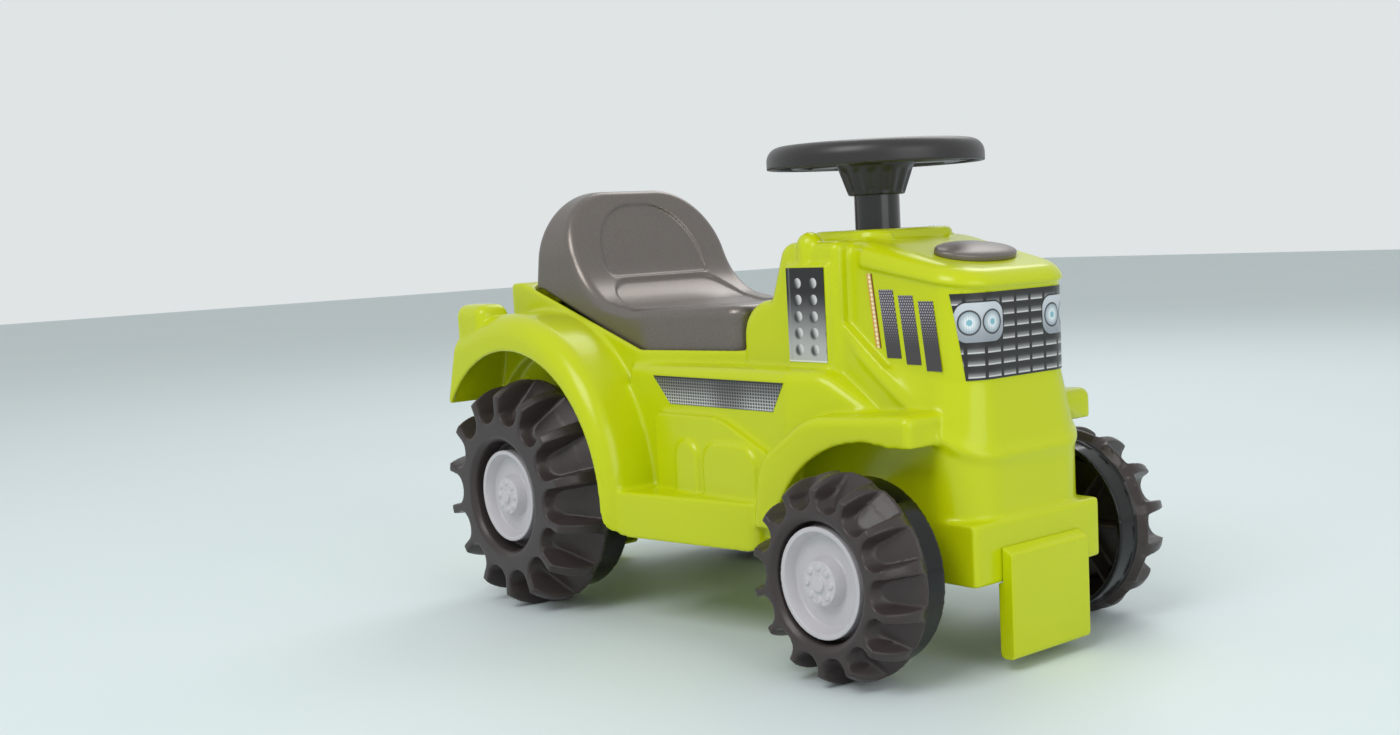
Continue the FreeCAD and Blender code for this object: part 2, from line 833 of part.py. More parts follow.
def slanted_wire(corners, front_height, slope):
    """A plan outline laid on a plane that rises towards the dash."""
    start = pillar_front - 2 * spare
    finish = apron_face + 2 * spare
    plane = [
        (start, front_height + (apron_face - start) * slope, 0),
        (finish, front_height + (apron_face - finish) * slope, 0),
        (finish, -far, 0), (start, -far, 0),
    ]
    solid = plan_prism(corners, -far / 2, far).common(side_prism(plane, far))
    tops = [face for face in solid.Faces if face.normalAt(0, 0).z > tiny]
    return tops[0].OuterWire


def flare(inset):
    """Sweep from the narrow bonnet out to the apron."""
    length = (flare_front - crease_front - flare_least) / (crease_slope - flare_slope)
    rear = apron_face - length + inset
    upper = nose_plan(nose_half - inset, nose_face - inset, nose_round - inset, rear)
    lower = nose_plan(apron_half - inset, apron_face - inset, apron_round - inset, rear)
    wires = [
        slanted_wire(lower, crease_front - inset, crease_slope),
        slanted_wire(upper, flare_front - inset, flare_slope),
    ]
    return Part.makeLoft(wires, True, True)


def apron(inset):
    """Lower front of the body, below the crease."""
    start = pillar_front - spare
    finish = apron_face + spare
    low = open_below(apron_bottom, inset)
    outline = [
        (start, low, 0), (start, crease_height(start), 0),
        (finish, crease_height(finish), 0), (finish, low, 0),
    ]
    plan = nose_plan(apron_half, apron_face, apron_round, start)
    slab = side_prism(outline, apron_half + spare, inset)
    return slab.common(plan_prism(plan, 0, far, inset))


def bumper():
    """Bumper rail round the foot of the apron."""
    half = apron_half + bumper_proud
    plan = [
        (bumper_rear, -half, bumper_edge_round), (bumper_face, -half, bumper_round),
        (bumper_face, half, bumper_round), (bumper_rear, half, bumper_edge_round),
    ]
    top = apron_bottom + bumper_height
    rail = plan_prism(plan, apron_bottom, top)
    return rounded(rail, bumper_edge_round, lambda edge: lies_at(edge, "Z", top))


def collar():
    """Raised deck round the steering column."""
    plan = [
        (collar_rear, -collar_half, collar_rear_round), (collar_front, -collar_half, collar_front_round),
        (collar_front, collar_half, collar_front_round), (collar_rear, collar_half, collar_rear_round),
    ]
    deck = plan_prism(plan, bonnet_height - collar_sink, collar_height)
    return rounded(deck, collar_edge_round, lambda edge: lies_at(edge, "Z", collar_height))


def stacks():
    """Round-topped exhaust stacks on the pillar's corners."""
    y = pillar_half + exhaust_box_proud - stack_radius - stack_sink
    post = upright(stack_radius, stack_x, y, exhaust_window()[3] + stack_gap, stack_height - stack_radius)
    dome = Part.makeSphere(stack_radius, Vector(stack_x, y, stack_height - stack_radius))
    return both_sides(fused([post, dome]))


def column_guide(radius, low):
    """Tube in the body that the steering column turns in."""
    return upright(radius, steering_x, 0, low, collar_height)


def cap_place(shape):
    """Lay a piece on the falling top of the bonnet, at the cap's place."""
    fall = math.atan2(bonnet_height - nose_height, nose_face - bonnet_break)
    height = bonnet_height - (cap_x - bonnet_break) * math.tan(fall)
    shape.rotate(Vector(0, 0, 0), Vector(0, 1, 0), math.degrees(fall))
    shape.translate(Vector(cap_x, 0, height))
    return shape


def oval(share, low, high):
    """Upright oval block with the proportions of the cap."""
    ellipse = Part.Ellipse(Vector(0, 0, 0), share * cap_half_width, share * cap_half_length)
    face = Part.Face(Part.Wire(ellipse.toShape()))
    face.rotate(Vector(0, 0, 0), Vector(0, 0, 1), 90)
    face.translate(Vector(0, 0, low))
    return face.extrude(Vector(0, 0, high - low))


def body_shell():
    """The one-piece lime body, open below."""
    guard = rear_guard(0.0, core_half - body_wall, rear_guard_half, belly_height, rear_guard_round)
    front = front_guard(0.0, apron_half - body_wall)
    bump = rear_bump(0.0, tail_height - bump_depth)
    outside = [core(0.0), side_panels(0.0), sills(0.0), bulge(0.0), tub(0.0), pillar(0.0)]
    outside += [nose(0.0), flare(0.0), apron(0.0), bumper(), collar()]
    outside += exhaust_boxes() + pads() + stacks() + both_sides(guard) + both_sides(front) + both_sides(bump)
    outer = fused(outside)

    inside = [core(body_wall), side_panels(body_wall), sills(body_wall), bulge(body_wall), tub(body_wall)]
    inside += [pillar(body_wall), nose(body_wall), flare(body_wall), apron(body_wall)]
    kept_clear = both_sides(guard) + both_sides(front)
    for arch, x, z, start in (
        (rear_arch, 0.0, rear_axle_z, core_half),
        (front_arch, wheelbase, front_axle_z, apron_half),
    ):
        kept_clear += both_sides(cross_rod(arch + body_wall, x, z, start - body_wall, overall_width))
    kept_clear.append(well_block(well_wall, well_floor - well_wall, far))
    kept_clear.append(column_guide(column_radius + column_fit + guide_wall, guide_floor - guide_floor_wall))
    for z, x, half in ((rear_axle_z, 0.0, core_half), (front_axle_z, wheelbase, apron_half)):
        kept_clear.append(cross_rod(axle_radius + axle_fit + axle_boss_wall, x, z, -half, half))
    hollow = fused(inside).cut(kept_clear)

    openings = both_sides(rear_guard(body_wall, tub_half, rear_guard_half - body_wall,
                                     open_below(belly_height, body_wall), rear_guard_round - body_wall))
    openings += both_sides(rear_bump(body_wall, tail_height - bump_depth - spare))
    openings += both_sides(front_guard(body_wall, apron_half))
    openings += both_sides(cross_rod(rear_arch, 0.0, rear_axle_z, core_half, overall_width))
    openings += both_sides(cross_rod(front_arch, wheelbase, front_axle_z, apron_half, overall_width))
    openings += sill_corners()
    openings.append(well())
    openings.append(cap_place(oval(cap_spigot_share, -spare, spare)))
    openings.append(upright(column_radius + column_fit, steering_x, 0, guide_floor, far))
    openings.append(upright(stem_radius + column_fit, steering_x, 0, guide_floor - spare, far))
    for x, z in ((0.0, rear_axle_z), (wheelbase, front_axle_z)):
        openings.append(cross_rod(axle_radius, x, z, -overall_width, overall_width))
    shell = outer.cut([hollow] + openings)

    rest = box(
        well_rear - well_wall / 2, well_rear + rest_depth, -rest_half, rest_half,
        seat_foot_height() - rest_gap - rest_height, seat_foot_height() - rest_gap,
    )
    shell = fused([shell, rest] + hinge_posts())
    pin_hole = cross_rod(hinge_radius + hinge_fit, hinge_x, hinge_z, -post_half - near, post_half + near)
    return shell.cut([pin_hole] + front_screw_holes() + rear_screw_holes())


def seat_foot_height():
    """Height of the skirt's flat foot at the rear of the seat."""
    return tub_rear_height - seat_sink


def turned(profile, x, y, z):
    """Solid of revolution about a Y axis; the profile gives (radius, distance along the axis)."""
    stops = [Vector(radius, along, 0) for radius, along in profile]
    face = Part.Face(Part.makePolygon(stops + stops[:1]))
    solid = face.revolve(Vector(0, 0, 0), Vector(0, 1, 0), 360)
    solid.translate(Vector(x, y, z))
    return solid


def wheel(radius, width, band_width, lug_height, pocket_gap, pocket_depth):
    """Hollow lugged wheel about the Y axis, with its outer wall towards +Y."""
    tread_inner = radius - lug_height - wheel_wall
    ring = radius - lug_height
    pocket = hub_radius + pocket_gap
    bore = axle_radius + axle_fit
    tube = bore + hub_tube_wall
    web_outer = width - pocket_depth
    web_inner = web_outer - wheel_wall
    profile = [
        (ring, 0), (ring, band_width), (ring + lug_step, band_width), (radius, width - lug_level),
        (radius, width - tread_shoulder), (radius - tread_shoulder, width),
    ]
    profile += [
        (pocket + wheel_wall, width), (pocket, width - wheel_wall), (pocket, web_outer), (bore, web_outer),
        (bore, hub_tube_inset), (tube, hub_tube_inset), (tube, web_inner), (pocket + wheel_wall, web_inner),
        (pocket + wheel_wall, width - wheel_wall), (tread_inner, width - wheel_wall), (tread_inner, 0),
    ]
    shell = turned(profile, 0, 0, 0)
    half_rib = wheel_rib_wall / 2
    rib = box(tube - near, tread_inner + near, -half_rib, half_rib, band_width, web_inner + near)
    rib.rotate(Vector(0, 0, 0), Vector(1, 0, 0), -90)
    ribs = []
    for index in range(wheel_rib_count):
        copy = rib.copy()
        copy.rotate(Vector(0, 0, 0), Vector(0, 1, 0), 360 * index / wheel_rib_count)
        ribs.append(copy)
    shell = fused([shell] + ribs)

    half_angle = math.pi / lug_count * (1 - lug_share)
    chord = radius ** 2 + ring ** 2 - 2 * radius * ring * math.cos(half_angle)
    scoop = chord / (2 * (radius * math.cos(half_angle) - ring))
    scoops = []
    for index in range(lug_count):
        angle = 2 * math.pi * (index + 0.5) / lug_count
        x = (ring + scoop) * math.sin(angle)
        z = (ring + scoop) * math.cos(angle)
        scoops.append(cross_rod(scoop, x, z, band_width, width + near))
    return shell.cut(scoops)


def hub_cap(face):
    """Dished hub cap with a boss, nuts and a nub, about the Y axis of a wheel."""
    seat = face - hub_cap_depth
    dish = face - hub_dish_depth
    profile = [
        (0, face), (hub_boss_radius - hub_boss_draft, face), (hub_boss_radius, dish),
        (hub_radius - 2 * hub_rim_width, dish), (hub_radius - hub_rim_width, face), (hub_radius, face),
        (hub_radius, seat), (hub_radius - hub_wall, seat), (hub_radius - hub_wall, dish - hub_wall),
        (hub_boss_radius - hub_wall, dish - hub_wall),
        (hub_boss_radius - hub_boss_draft - hub_wall, face - hub_wall), (0, face - hub_wall),
    ]
    root = face - hub_wall / 2
    details = [turned(profile, 0, 0, 0), cross_rod(hub_nub_radius, 0, 0, root, face + hub_nub_height)]
    for index in range(nut_count):
        angle = 2 * math.pi * index / nut_count
        x = nut_circle * math.cos(angle)
        z = nut_circle * math.sin(angle)
        details.append(cross_rod(nut_radius, x, z, root, face + nut_height))
    return fused(details)


def axle_rod(x, z, web_face):
    end = web_face + axle_end_reach
    return cross_rod(axle_radius, x, z, -end, end)


def sleeves(x, z, wall_face, hub_face):
    """Two spacer sleeves that keep a pair of wheels off the body."""
    bore = axle_radius + axle_fit
    outer = cross_rod(bore + sleeve_wall, x, z, wall_face, hub_face - end_gap)
    tube = outer.cut(cross_rod(bore, x, z, 0, overall_width))
    return Part.makeCompound(both_sides(tube))


def push_caps(x, z, web_face):
    """Two caps pressed on the ends of an axle."""
    start = web_face + end_gap
    ring = cross_rod(push_cap_radius, x, z, start, start + push_cap_width)
    crown = cross_rod(axle_radius + 2 * push_cap_wall, x, z, start, start + axle_end_reach + push_cap_wall)
    cap = fused([ring, crown])
    cap = cap.cut(cross_rod(axle_radius + push_fit, x, z, 0, web_face + axle_end_reach))
    return Part.makeCompound(both_sides(cap))


def front_leg():
    """Front stabiliser: a channel below the bumper with a hook behind its wall."""
    hook_back = front_hook_back
    hook_face = hook_back + leg_wall
    top = apron_bottom - leg_fit
    back = front_end - front_leg_depth
    outline = [
        (front_end, front_leg_foot, leg_wall), (front_end, front_leg_top - leg_bevel, leg_wall / 2),
        (bumper_face, front_leg_top, 0), (bumper_face, top, 0), (back, top, 0),
        (back, front_leg_foot, leg_wall),
    ]
    channel = side_prism(outline, leg_half)
    hook = box(hook_back, hook_face, -leg_hook_half, leg_hook_half,
               top - leg_wall, apron_bottom + leg_hook_height)
    shelf = box(hook_back, back + leg_wall, -leg_hook_half, leg_hook_half, top - leg_wall, top)
    pocket = box(back - leg_wall, front_end - leg_wall, leg_wall - leg_half, leg_half - leg_wall,
                 front_leg_foot + leg_wall, top - leg_wall)
    return fused([channel, hook, shelf]).cut([pocket] + front_screw_holes())


def rear_leg():
    """Rear stabiliser: a stepped channel with a hook behind the tail wall."""
    back = rear_end
    hook_back = rear_hook_back
    hook_face = hook_back - leg_wall
    top = belly_height - leg_fit
    step = rear_leg_top - leg_hook_height
    outline = [
        (back, rear_leg_foot, leg_wall), (back, step - leg_step, leg_wall), (back + leg_step, step, leg_wall),
        (back + leg_step, rear_leg_top, leg_wall), (tail_face, rear_leg_top, 0), (tail_face, top, 0),
        (hook_back, top, 0), (hook_back, rear_leg_foot, leg_wall),
    ]
    channel = side_prism(outline, leg_half)
    hook = box(hook_face, hook_back, -leg_hook_half, leg_hook_half,
               top - leg_wall, belly_height + leg_hook_height)
    pocket = box(back + leg_wall, hook_back + leg_wall, leg_wall - leg_half, leg_half - leg_wall,
                 rear_leg_foot + leg_wall, step - leg_step - leg_wall)
    return fused([channel, hook]).cut([pocket] + rear_screw_holes())


def screw_bars(hook_back, direction, radius, length, leg_top):
    """Two round bars through a hook, the body's wall and into a leg."""
    z = leg_top - screw_head_radius - leg_wall
    bars = []
    for side in (-1, 1):
        place = Vector(hook_back, side * leg_screw_spread / 2, z)
        bars.append(Part.makeCylinder(radius, length, place, Vector(direction, 0, 0)))
    return bars


def front_screw_holes():
    return screw_bars(front_hook_back, 1, screw_radius + push_fit, front_grip + screw_room, front_leg_top)


def rear_screw_holes():
    return screw_bars(rear_hook_back, -1, screw_radius + push_fit, rear_grip + screw_room, rear_leg_top)


def leg_screws(hook_back, direction, grip, leg_top):
    """Two screws driven from inside the body through a hook into its leg."""
    shanks = screw_bars(hook_back, direction, screw_radius, grip, leg_top)
    heads = screw_bars(hook_back, -direction, screw_head_radius, screw_head_height, leg_top)
    return [fused([shank, head]) for shank, head in zip(shanks, heads)]


def all_leg_screws():
    screws = leg_screws(front_hook_back, 1, front_grip, front_leg_top)
    screws += leg_screws(rear_hook_back, -1, rear_grip, rear_leg_top)
    return Part.makeCompound(screws)


def column_top():
    """The column ends under the plate of the steering wheel's hub."""
    return overall_height - hub_drop - hub_plate


def steering_column():
    """Hollow post with a stem that turns in the floor of its guide."""
    bottom = guide_floor + end_gap
    post = upright(column_radius, steering_x, 0, bottom, column_top())
    bore_radius = column_radius - column_wall
    stem_low = guide_floor - guide_floor_wall - stem_reach
    bore = upright(bore_radius, steering_x, 0, bottom + column_wall, column_top() - column_top_wall)
    stem = upright(stem_radius, steering_x, 0, stem_low, bottom + column_wall)
    depth = steer_screw_length + screw_room
    hole = upright(steer_screw_radius + push_fit, steering_x, 0, column_top() - depth, column_top())
    return fused([post, stem]).cut([bore, hole])


def column_push_nut():
    """Toothless push nut on the stem, just below the floor of the guide."""
    top = guide_floor - guide_floor_wall - end_gap
    disc = upright(push_nut_radius, steering_x, 0, top - push_nut_width, top)
    return disc.cut(upright(stem_radius + push_fit, steering_x, 0, 0, overall_height))


def rim_face(inset):
    """Section of the steering rim: round above, flat below."""
    outer = rim_radius - inset
    inner = rim_radius - rim_width + inset
    top = overall_height - inset
    foot = open_below(overall_height - rim_height, inset)
    round_top = rim_width / 2 - inset - tiny
    corners = [(inner, foot, 0), (outer, foot, 0), (outer, top, round_top), (inner, top, round_top)]
    return rounded_face(corners, on_side)


def steering_wheel():
    """Rim, spokes and a flared hub that slips over the column."""
    up = Vector(0, 0, 1)
    rim = rim_face(0.0).revolve(Vector(0, 0, 0), up, 360)
    groove = rim_face(rim_wall).revolve(Vector(0, 0, 0), up, 360)
    hub_top = overall_height - hub_drop
    cone = Part.makeCone(hub_foot_radius, hub_flare_radius, hub_cone_height,
                         Vector(0, 0, column_top() - hub_cone_height))
    plate = upright(hub_flare_radius, 0, 0, column_top(), hub_top)
    pieces = [rim.cut(groove), cone, plate]
    for index in range(spoke_count):
        reach = rim_radius - rim_width / 2
        arm = box(0, reach, -spoke_width / 2, spoke_width / 2, hub_top - spoke_thickness, hub_top)
        arm.rotate(Vector(0, 0, 0), up, 180 + 360 * index / spoke_count)
        pieces.append(arm)
    socket = upright(column_radius + push_fit, 0, 0, 0, column_top())
    hole = upright(steer_screw_radius + push_fit, 0, 0, 0, overall_height)
    solid = fused(pieces).cut([socket, hole])
    solid.translate(Vector(steering_x, 0, 0))
    return solid


def steering_screw():
    """Screw through the hub's plate into the top of the column."""
    top = overall_height - hub_drop
    shank = upright(steer_screw_radius, steering_x, 0, column_top() - steer_screw_length, top)
    head = upright(steer_head_radius, steering_x, 0, top, top + steer_head_height)
    return fused([shank, head])


def bonnet_cap():
    """Domed oval cap with a spigot in the bonnet."""
    plate = oval(1.0, 0.0, cap_edge)
    stretch = FreeCAD.Matrix()
    stretch.scale(cap_half_length, cap_half_width, cap_crown)
    dome = Part.makeSphere(1.0).transformGeometry(stretch)
    dome = dome.common(box(-far, far, -far, far, 0, far))
    dome.translate(Vector(0, 0, cap_edge))
    spigot = oval(cap_spigot_share - cap_fit / cap_half_length, -cap_spigot_depth, cap_edge)
    return cap_place(fused([plate, dome, spigot]))


def seat_place(point):
    """A point of the seat's side view, given from its rear foot and the level rim."""
    return seat_rear_foot + point[0], level_rim + point[1]


def seat_outline(drop):
    """Side view of the seat: backrest, pan and skirt."""
    foot = seat_foot_height() - drop
    skirt = rim_break[1] - seat_sink - drop
    top = seat_place(seat_back_top)
    return [
        (seat_rear_foot, foot, 0), (seat_rear_foot + seat_rear_lean, top[1], 0), (*top, 0),
        (*seat_place(seat_back_foot), seat_lap_round), (*seat_place(seat_low), seat_pan_round),
        (*seat_front, 0), (seat_front[0], skirt, 0),
        (rim_break[0], skirt, 0), (seat_rear_foot + rest_depth, foot, 0),
    ]


def seat_block(inset, drop):
    """Outside of the seat, or its inside with an inset, with soft edges."""
    plan = [
        (seat_rear_foot, -seat_half, 0), (rim_break[0], -seat_half, tub_taper_round),
        (seat_front[0], -seat_front_half, seat_front_round),
        (seat_front[0], seat_front_half, seat_front_round),
        (rim_break[0], seat_half, tub_taper_round), (seat_rear_foot, seat_half, 0),
    ]
    top = seat_place(seat_back_top)[1]
    arch = [
        (-seat_half, 0, 0), (seat_half, 0, 0),
        (seat_half, top, seat_arch_round), (-seat_half, top, seat_arch_round),
    ]
    slab = side_prism(seat_outline(drop), seat_half + spare, inset)
    block = slab.common(plan_prism(plan, 0, overall_height, inset))
    block = block.common(front_prism(arch, -far, far, inset))
    lowest = seat_pan_low - 2 * seat_wall

    def rim(edge):
        size = edge.BoundBox
        foot = size.ZMax < seat_foot_height() + near and size.XMax < seat_place(seat_back_foot)[0]
        return size.ZMin > lowest and not foot and is_sharp(block, edge)

    return rounded(block, seat_edge_round - inset, rim)


def seat_panels():
    """Shallow recesses in the backrest and in the pan."""
    outline = seat_outline(0.0)
    skin = side_prism(outline, well_half).cut(side_prism(outline, well_half + spare, seat_panel_depth))
    low = level_rim + back_panel_low
    high = level_rim + back_panel_high
    rear = seat_rear_foot + pan_panel_rear
    front = seat_front[0] - pan_panel_margin
    front_half = seat_front_half - pan_panel_margin
    back = [
        (-back_panel_half, low, back_panel_low_round), (back_panel_half, low, back_panel_low_round),
        (back_panel_half, high, back_panel_high_round), (-back_panel_half, high, back_panel_high_round),
    ]
    pan = [
        (rear, -pan_panel_half, pan_panel_rear_round), (front, -front_half, pan_panel_front_round),
        (front, front_half, pan_panel_front_round), (rear, pan_panel_half, pan_panel_rear_round),
    ]
    back_block = front_prism(back, seat_place(seat_back_top)[0] - seat_wall, far)
    pan_block = plan_prism(pan, seat_pan_low - 2 * seat_wall, far)
    return skin.common(back_block.fuse(pan_block))


def hinge_lugs(outer):
    """Lugs under the pan, outside the posts, each with a pin that points inwards."""
    start = post_half + hinge_side_gap
    finish = start + seat_wall
    end = cross_rod(hinge_lug_round, hinge_x, hinge_z, start, finish)
    plate = box(hinge_x - hinge_lug_round, hinge_x + hinge_lug_round, start, finish, hinge_z, seat_front[1])
    pin = cross_rod(hinge_radius, hinge_x, hinge_z, post_inner, finish)
    return both_sides(fused([end, plate.common(outer), pin]))


def post_notches():
    """Notches in the front skirt that let it swing past the posts."""
    gap = hinge_side_gap
    notch = box(hinge_x, seat_front[0] + near, post_inner - gap, post_half + gap,
                level_rim - seat_sink - spare, hinge_z + post_round + gap)
    return both_sides(notch)


def seat():
    """Moulded seat with hinge lugs under its front and pegs under its pan."""
    panels = seat_panels()
    outer = seat_block(0.0, 0.0)
    shell = outer.cut([seat_block(seat_wall, spare), panels] + post_notches())
    additions = hinge_lugs(outer)
    for place in peg_places:
        low = seat_pan_low - seat_wall - peg_length
        peg = upright(peg_radius, seat_rear_foot + place, 0, low, overall_height)
        additions.append(peg.common(outer).cut(panels))
    return fused([shell] + additions)


def side_plate(corners, surface):
    """Thin label on an upright side face, on the right-hand side of the toy."""
    face = rounded_face([(x, z, 0) for x, z in corners], on_side)
    face.translate(Vector(0, -surface - label_glue - label_thickness, 0))
    return face.extrude(Vector(0, label_thickness, 0))


def exhaust_plate():
    rear, front, low, high = exhaust_window()
    corners = [(rear, low), (front, low), (front, high), (rear, high)]
    return side_plate(corners, pillar_half + exhaust_box_proud)


def mesh_plate():
    rear = panel_rear + mesh_start
    front = pillar_front - mesh_end
    top = ledge_height - mesh_drop
    low = top - mesh_height
    corners = [(rear + mesh_rear_slant, low), (front - mesh_front_slant, low), (front, top), (rear, top)]
    return side_plate(corners, panel_half)


def slot_plates():
    """Leaning strip and slots on the side of the bonnet."""
    plates = []
    places = [(pillar_front + strip_start, bonnet_height - strip_drop, strip_width, strip_height)]
    for index in range(slot_count):
        x = pillar_front + slot_start + slot_pitch * index
        top = bonnet_height - slot_drop - slot_fall * index
        places.append((x, top, slot_width, slot_height))
    for x, top, width, height in places:
        lean = slot_lean * height / slot_height
        corners = [(x, top), (x + width, top), (x + width + lean, top - height), (x + lean, top - height)]
        plates.append(side_plate(corners, nose_half))
    return Part.makeCompound(plates)


def grille_plate():
    """Label wrapped round the front of the nose."""
    outside = label_glue + label_thickness
    low = flare_front + grille_rise
    high = nose_height - bonnet_round

    def wrap(grow):
        corners = nose_plan(nose_half + grow, nose_face + grow, nose_round + grow, pillar_front)
        return plan_prism(corners, low, high)

    window = [
        (-grille_bottom_half, low, 0), (grille_bottom_half, low, 0),
        (grille_top_half, high, 0), (-grille_top_half, high, 0),
    ]
    sleeve = wrap(outside).cut(wrap(label_glue))
    return sleeve.common(front_prism(window, nose_face - nose_round, far))


def dash_plate():
    """Label on the flat part of the sloping dash."""
    length = math.hypot(dash_lean, dash_rise)
    lean = math.atan2(dash_lean, dash_rise)
    bend = math.tan((math.pi / 2 + lean) / 2)
    low = dash_foot_round / bend + dash_label_margin
    high = length - dash_top_round / bend - dash_label_margin
    plate = box(0, label_thickness, -dash_label_half, dash_label_half, low, high)
    plate.translate(Vector(-label_glue - label_thickness, 0, 0))
    plate.rotate(Vector(0, 0, 0), Vector(0, 1, 0), math.degrees(lean))
    plate.translate(on_side(*dash_foot))
    return plate


def build():
    """Every piece by the name of its node."""
    nodes = {
        "body_shell": body_shell(),
        "front_stabiliser": front_leg(),
        "rear_stabiliser": rear_leg(),
        "stabiliser_screws": all_leg_screws(),
        "seat": seat(),
        "steering_wheel": steering_wheel(),
        "steering_column": steering_column(),
        "steering_screw": steering_screw(),
        "column_push_nut": column_push_nut(),
        "bonnet_cap": bonnet_cap(),
        "grille_label": grille_plate(),
        "dash_label": dash_plate(),
    }
    rear_depth = rear_hub_drop + hub_cap_depth
    front_depth = front_hub_drop + hub_cap_depth
    rear_sizes = (rear_wheel_radius, rear_wheel_width, rear_band_width, rear_lug_height,
                  rear_pocket_gap, rear_depth)
    front_sizes = (front_wheel_radius, front_wheel_width, front_band_width, front_lug_height,
                   front_pocket_gap, front_depth)
    axles = {
        "rear": (0.0, rear_axle_z, rear_inner, core_half, rear_sizes, rear_hub_drop),
        "front": (wheelbase, front_axle_z, front_inner, apron_half, front_sizes, front_hub_drop),
    }
    for end, (x, z, inner, wall_face, sizes, drop) in axles.items():
        width = sizes[1]
        web_face = inner + width - drop - hub_cap_depth
        nodes[end + "_axle"] = axle_rod(x, z, web_face)
        nodes[end + "_spacer_sleeves"] = sleeves(x, z, wall_face, inner + hub_tube_inset)
        nodes[end + "_push_caps"] = push_caps(x, z, web_face)
        tyre = wheel(*sizes)
        cap = hub_cap(width - drop)
        for side, sign in sides.items():
            for kind, shape in (("wheel", tyre), ("hub_cap", cap)):
                piece = shape.copy()
                piece.translate(Vector(x, inner, z))
                nodes[end + "_" + side + "_" + kind] = piece if sign > 0 else mirrored(piece)
    plates = {"exhaust": exhaust_plate(), "mesh": mesh_plate(), "bonnet_slots": slot_plates()}
    for name, plate in plates.items():
        nodes[name + "_label_right"] = plate
        nodes[name + "_label_left"] = mirrored(plate)
    return nodes


def finish(nodes):
    """Move the pieces to the shared origin and write one file for each."""
    os.makedirs("parts", exist_ok=True)
    for name, shape in nodes.items():
        piece = shape.copy()
        piece.translate(Vector(-middle_x, 0, 0))
        piece.exportStep("parts/" + name + ".step")
        size = piece.BoundBox
        print(name, piece.isValid(), len(piece.Solids), round(piece.Volume / 1000, 2),
              [round(value, 1) for value in (size.XLength, size.YLength, size.ZLength)])


finish(build())
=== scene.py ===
# %% [markdown]
# # Dressing a ride-on tractor
# The construction model gives every piece of the toy at its real size. This lesson keeps those places and
# gives the pieces the soft edges, blends and finishes of moulded plastic. First the model is loaded.

# %% Load the construction model
import json
import math

import bpy
import numpy
from mathutils import Matrix, Vector

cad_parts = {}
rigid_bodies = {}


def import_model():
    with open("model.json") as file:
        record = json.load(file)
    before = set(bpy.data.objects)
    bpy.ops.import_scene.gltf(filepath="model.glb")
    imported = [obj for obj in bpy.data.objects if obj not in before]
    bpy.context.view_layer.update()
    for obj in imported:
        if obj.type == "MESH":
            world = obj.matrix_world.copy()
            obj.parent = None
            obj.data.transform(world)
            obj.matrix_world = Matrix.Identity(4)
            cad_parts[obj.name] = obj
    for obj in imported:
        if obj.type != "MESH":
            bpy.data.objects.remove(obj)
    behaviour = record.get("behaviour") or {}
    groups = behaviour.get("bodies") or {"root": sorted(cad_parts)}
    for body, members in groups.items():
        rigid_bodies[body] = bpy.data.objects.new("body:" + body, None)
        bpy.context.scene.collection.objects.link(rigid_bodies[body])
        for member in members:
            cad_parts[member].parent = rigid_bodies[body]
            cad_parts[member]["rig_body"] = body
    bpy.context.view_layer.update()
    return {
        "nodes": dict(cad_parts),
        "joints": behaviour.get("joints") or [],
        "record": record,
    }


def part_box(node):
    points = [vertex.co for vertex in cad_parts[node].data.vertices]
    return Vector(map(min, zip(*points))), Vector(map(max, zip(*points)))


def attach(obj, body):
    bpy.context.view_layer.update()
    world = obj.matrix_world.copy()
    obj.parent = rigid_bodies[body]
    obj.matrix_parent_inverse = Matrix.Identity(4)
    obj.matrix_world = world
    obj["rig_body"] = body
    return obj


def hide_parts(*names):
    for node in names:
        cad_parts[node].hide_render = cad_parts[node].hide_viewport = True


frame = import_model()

MM = 0.001
nodes = frame["nodes"]
slot_of = {row["node"]: row["material_slot"] for row in frame["record"]["subparts"]}
bpy.ops.object.select_all(action="DESELECT")

# %% [markdown]
# The camera stands where the photograph was taken from: to the right of the tractor's front, a little higher
# than its bonnet. The place was found by matching hubs, labels and edges, and it is written as a point, a turn,
# a height angle and a small roll. The picture is 1400 by 735, and the tractor is a little right of its middle
# and low in it, which a small shift of the lens gives without turning the camera.

# %% Camera
PICTURE_WIDTH = 1400
PICTURE_HEIGHT = 735
SENSOR_WIDTH = 36
NEAREST_SEEN = 10 * MM
camera_place = Vector((864, -749, 274)) * MM
turn = math.radians(48.75)
height_angle = math.radians(7.0)
roll = math.radians(-2.86)
focal_pixels = 1584.7
centre_pixel = (777, 421)

flat = math.cos(height_angle)
back = Vector((math.sin(turn) * flat, -math.cos(turn) * flat, math.sin(height_angle)))
right = Vector((math.cos(turn), math.sin(turn), 0))
up = back.cross(right)
across = right * math.cos(roll) + up * math.sin(roll)
upward = up * math.cos(roll) - right * math.sin(roll)

bpy.ops.object.camera_add()
camera = bpy.context.object
camera.data.sensor_width = SENSOR_WIDTH
camera.data.lens = focal_pixels / PICTURE_WIDTH * SENSOR_WIDTH
camera.data.shift_x = (PICTURE_WIDTH / 2 - centre_pixel[0]) / PICTURE_WIDTH
camera.data.shift_y = (centre_pixel[1] - PICTURE_HEIGHT / 2) / PICTURE_WIDTH
camera.data.clip_start = NEAREST_SEEN
camera.matrix_world = Matrix.Translation(camera_place) @ Matrix((across, upward, back)).transposed().to_4x4()
bpy.context.scene.camera = camera
print("lens", round(camera.data.lens, 1), "mm, camera at", [round(place / MM) for place in camera_place])

# %% [markdown]
# The studio is a pale floor with one large soft lamp to the left of the camera, a weaker one to its right and a
# third above and behind for bright upper edges. Large lamps give the long soft highlights that the moulded
# plastic shows. The view transform is Standard, so colours come out as written.

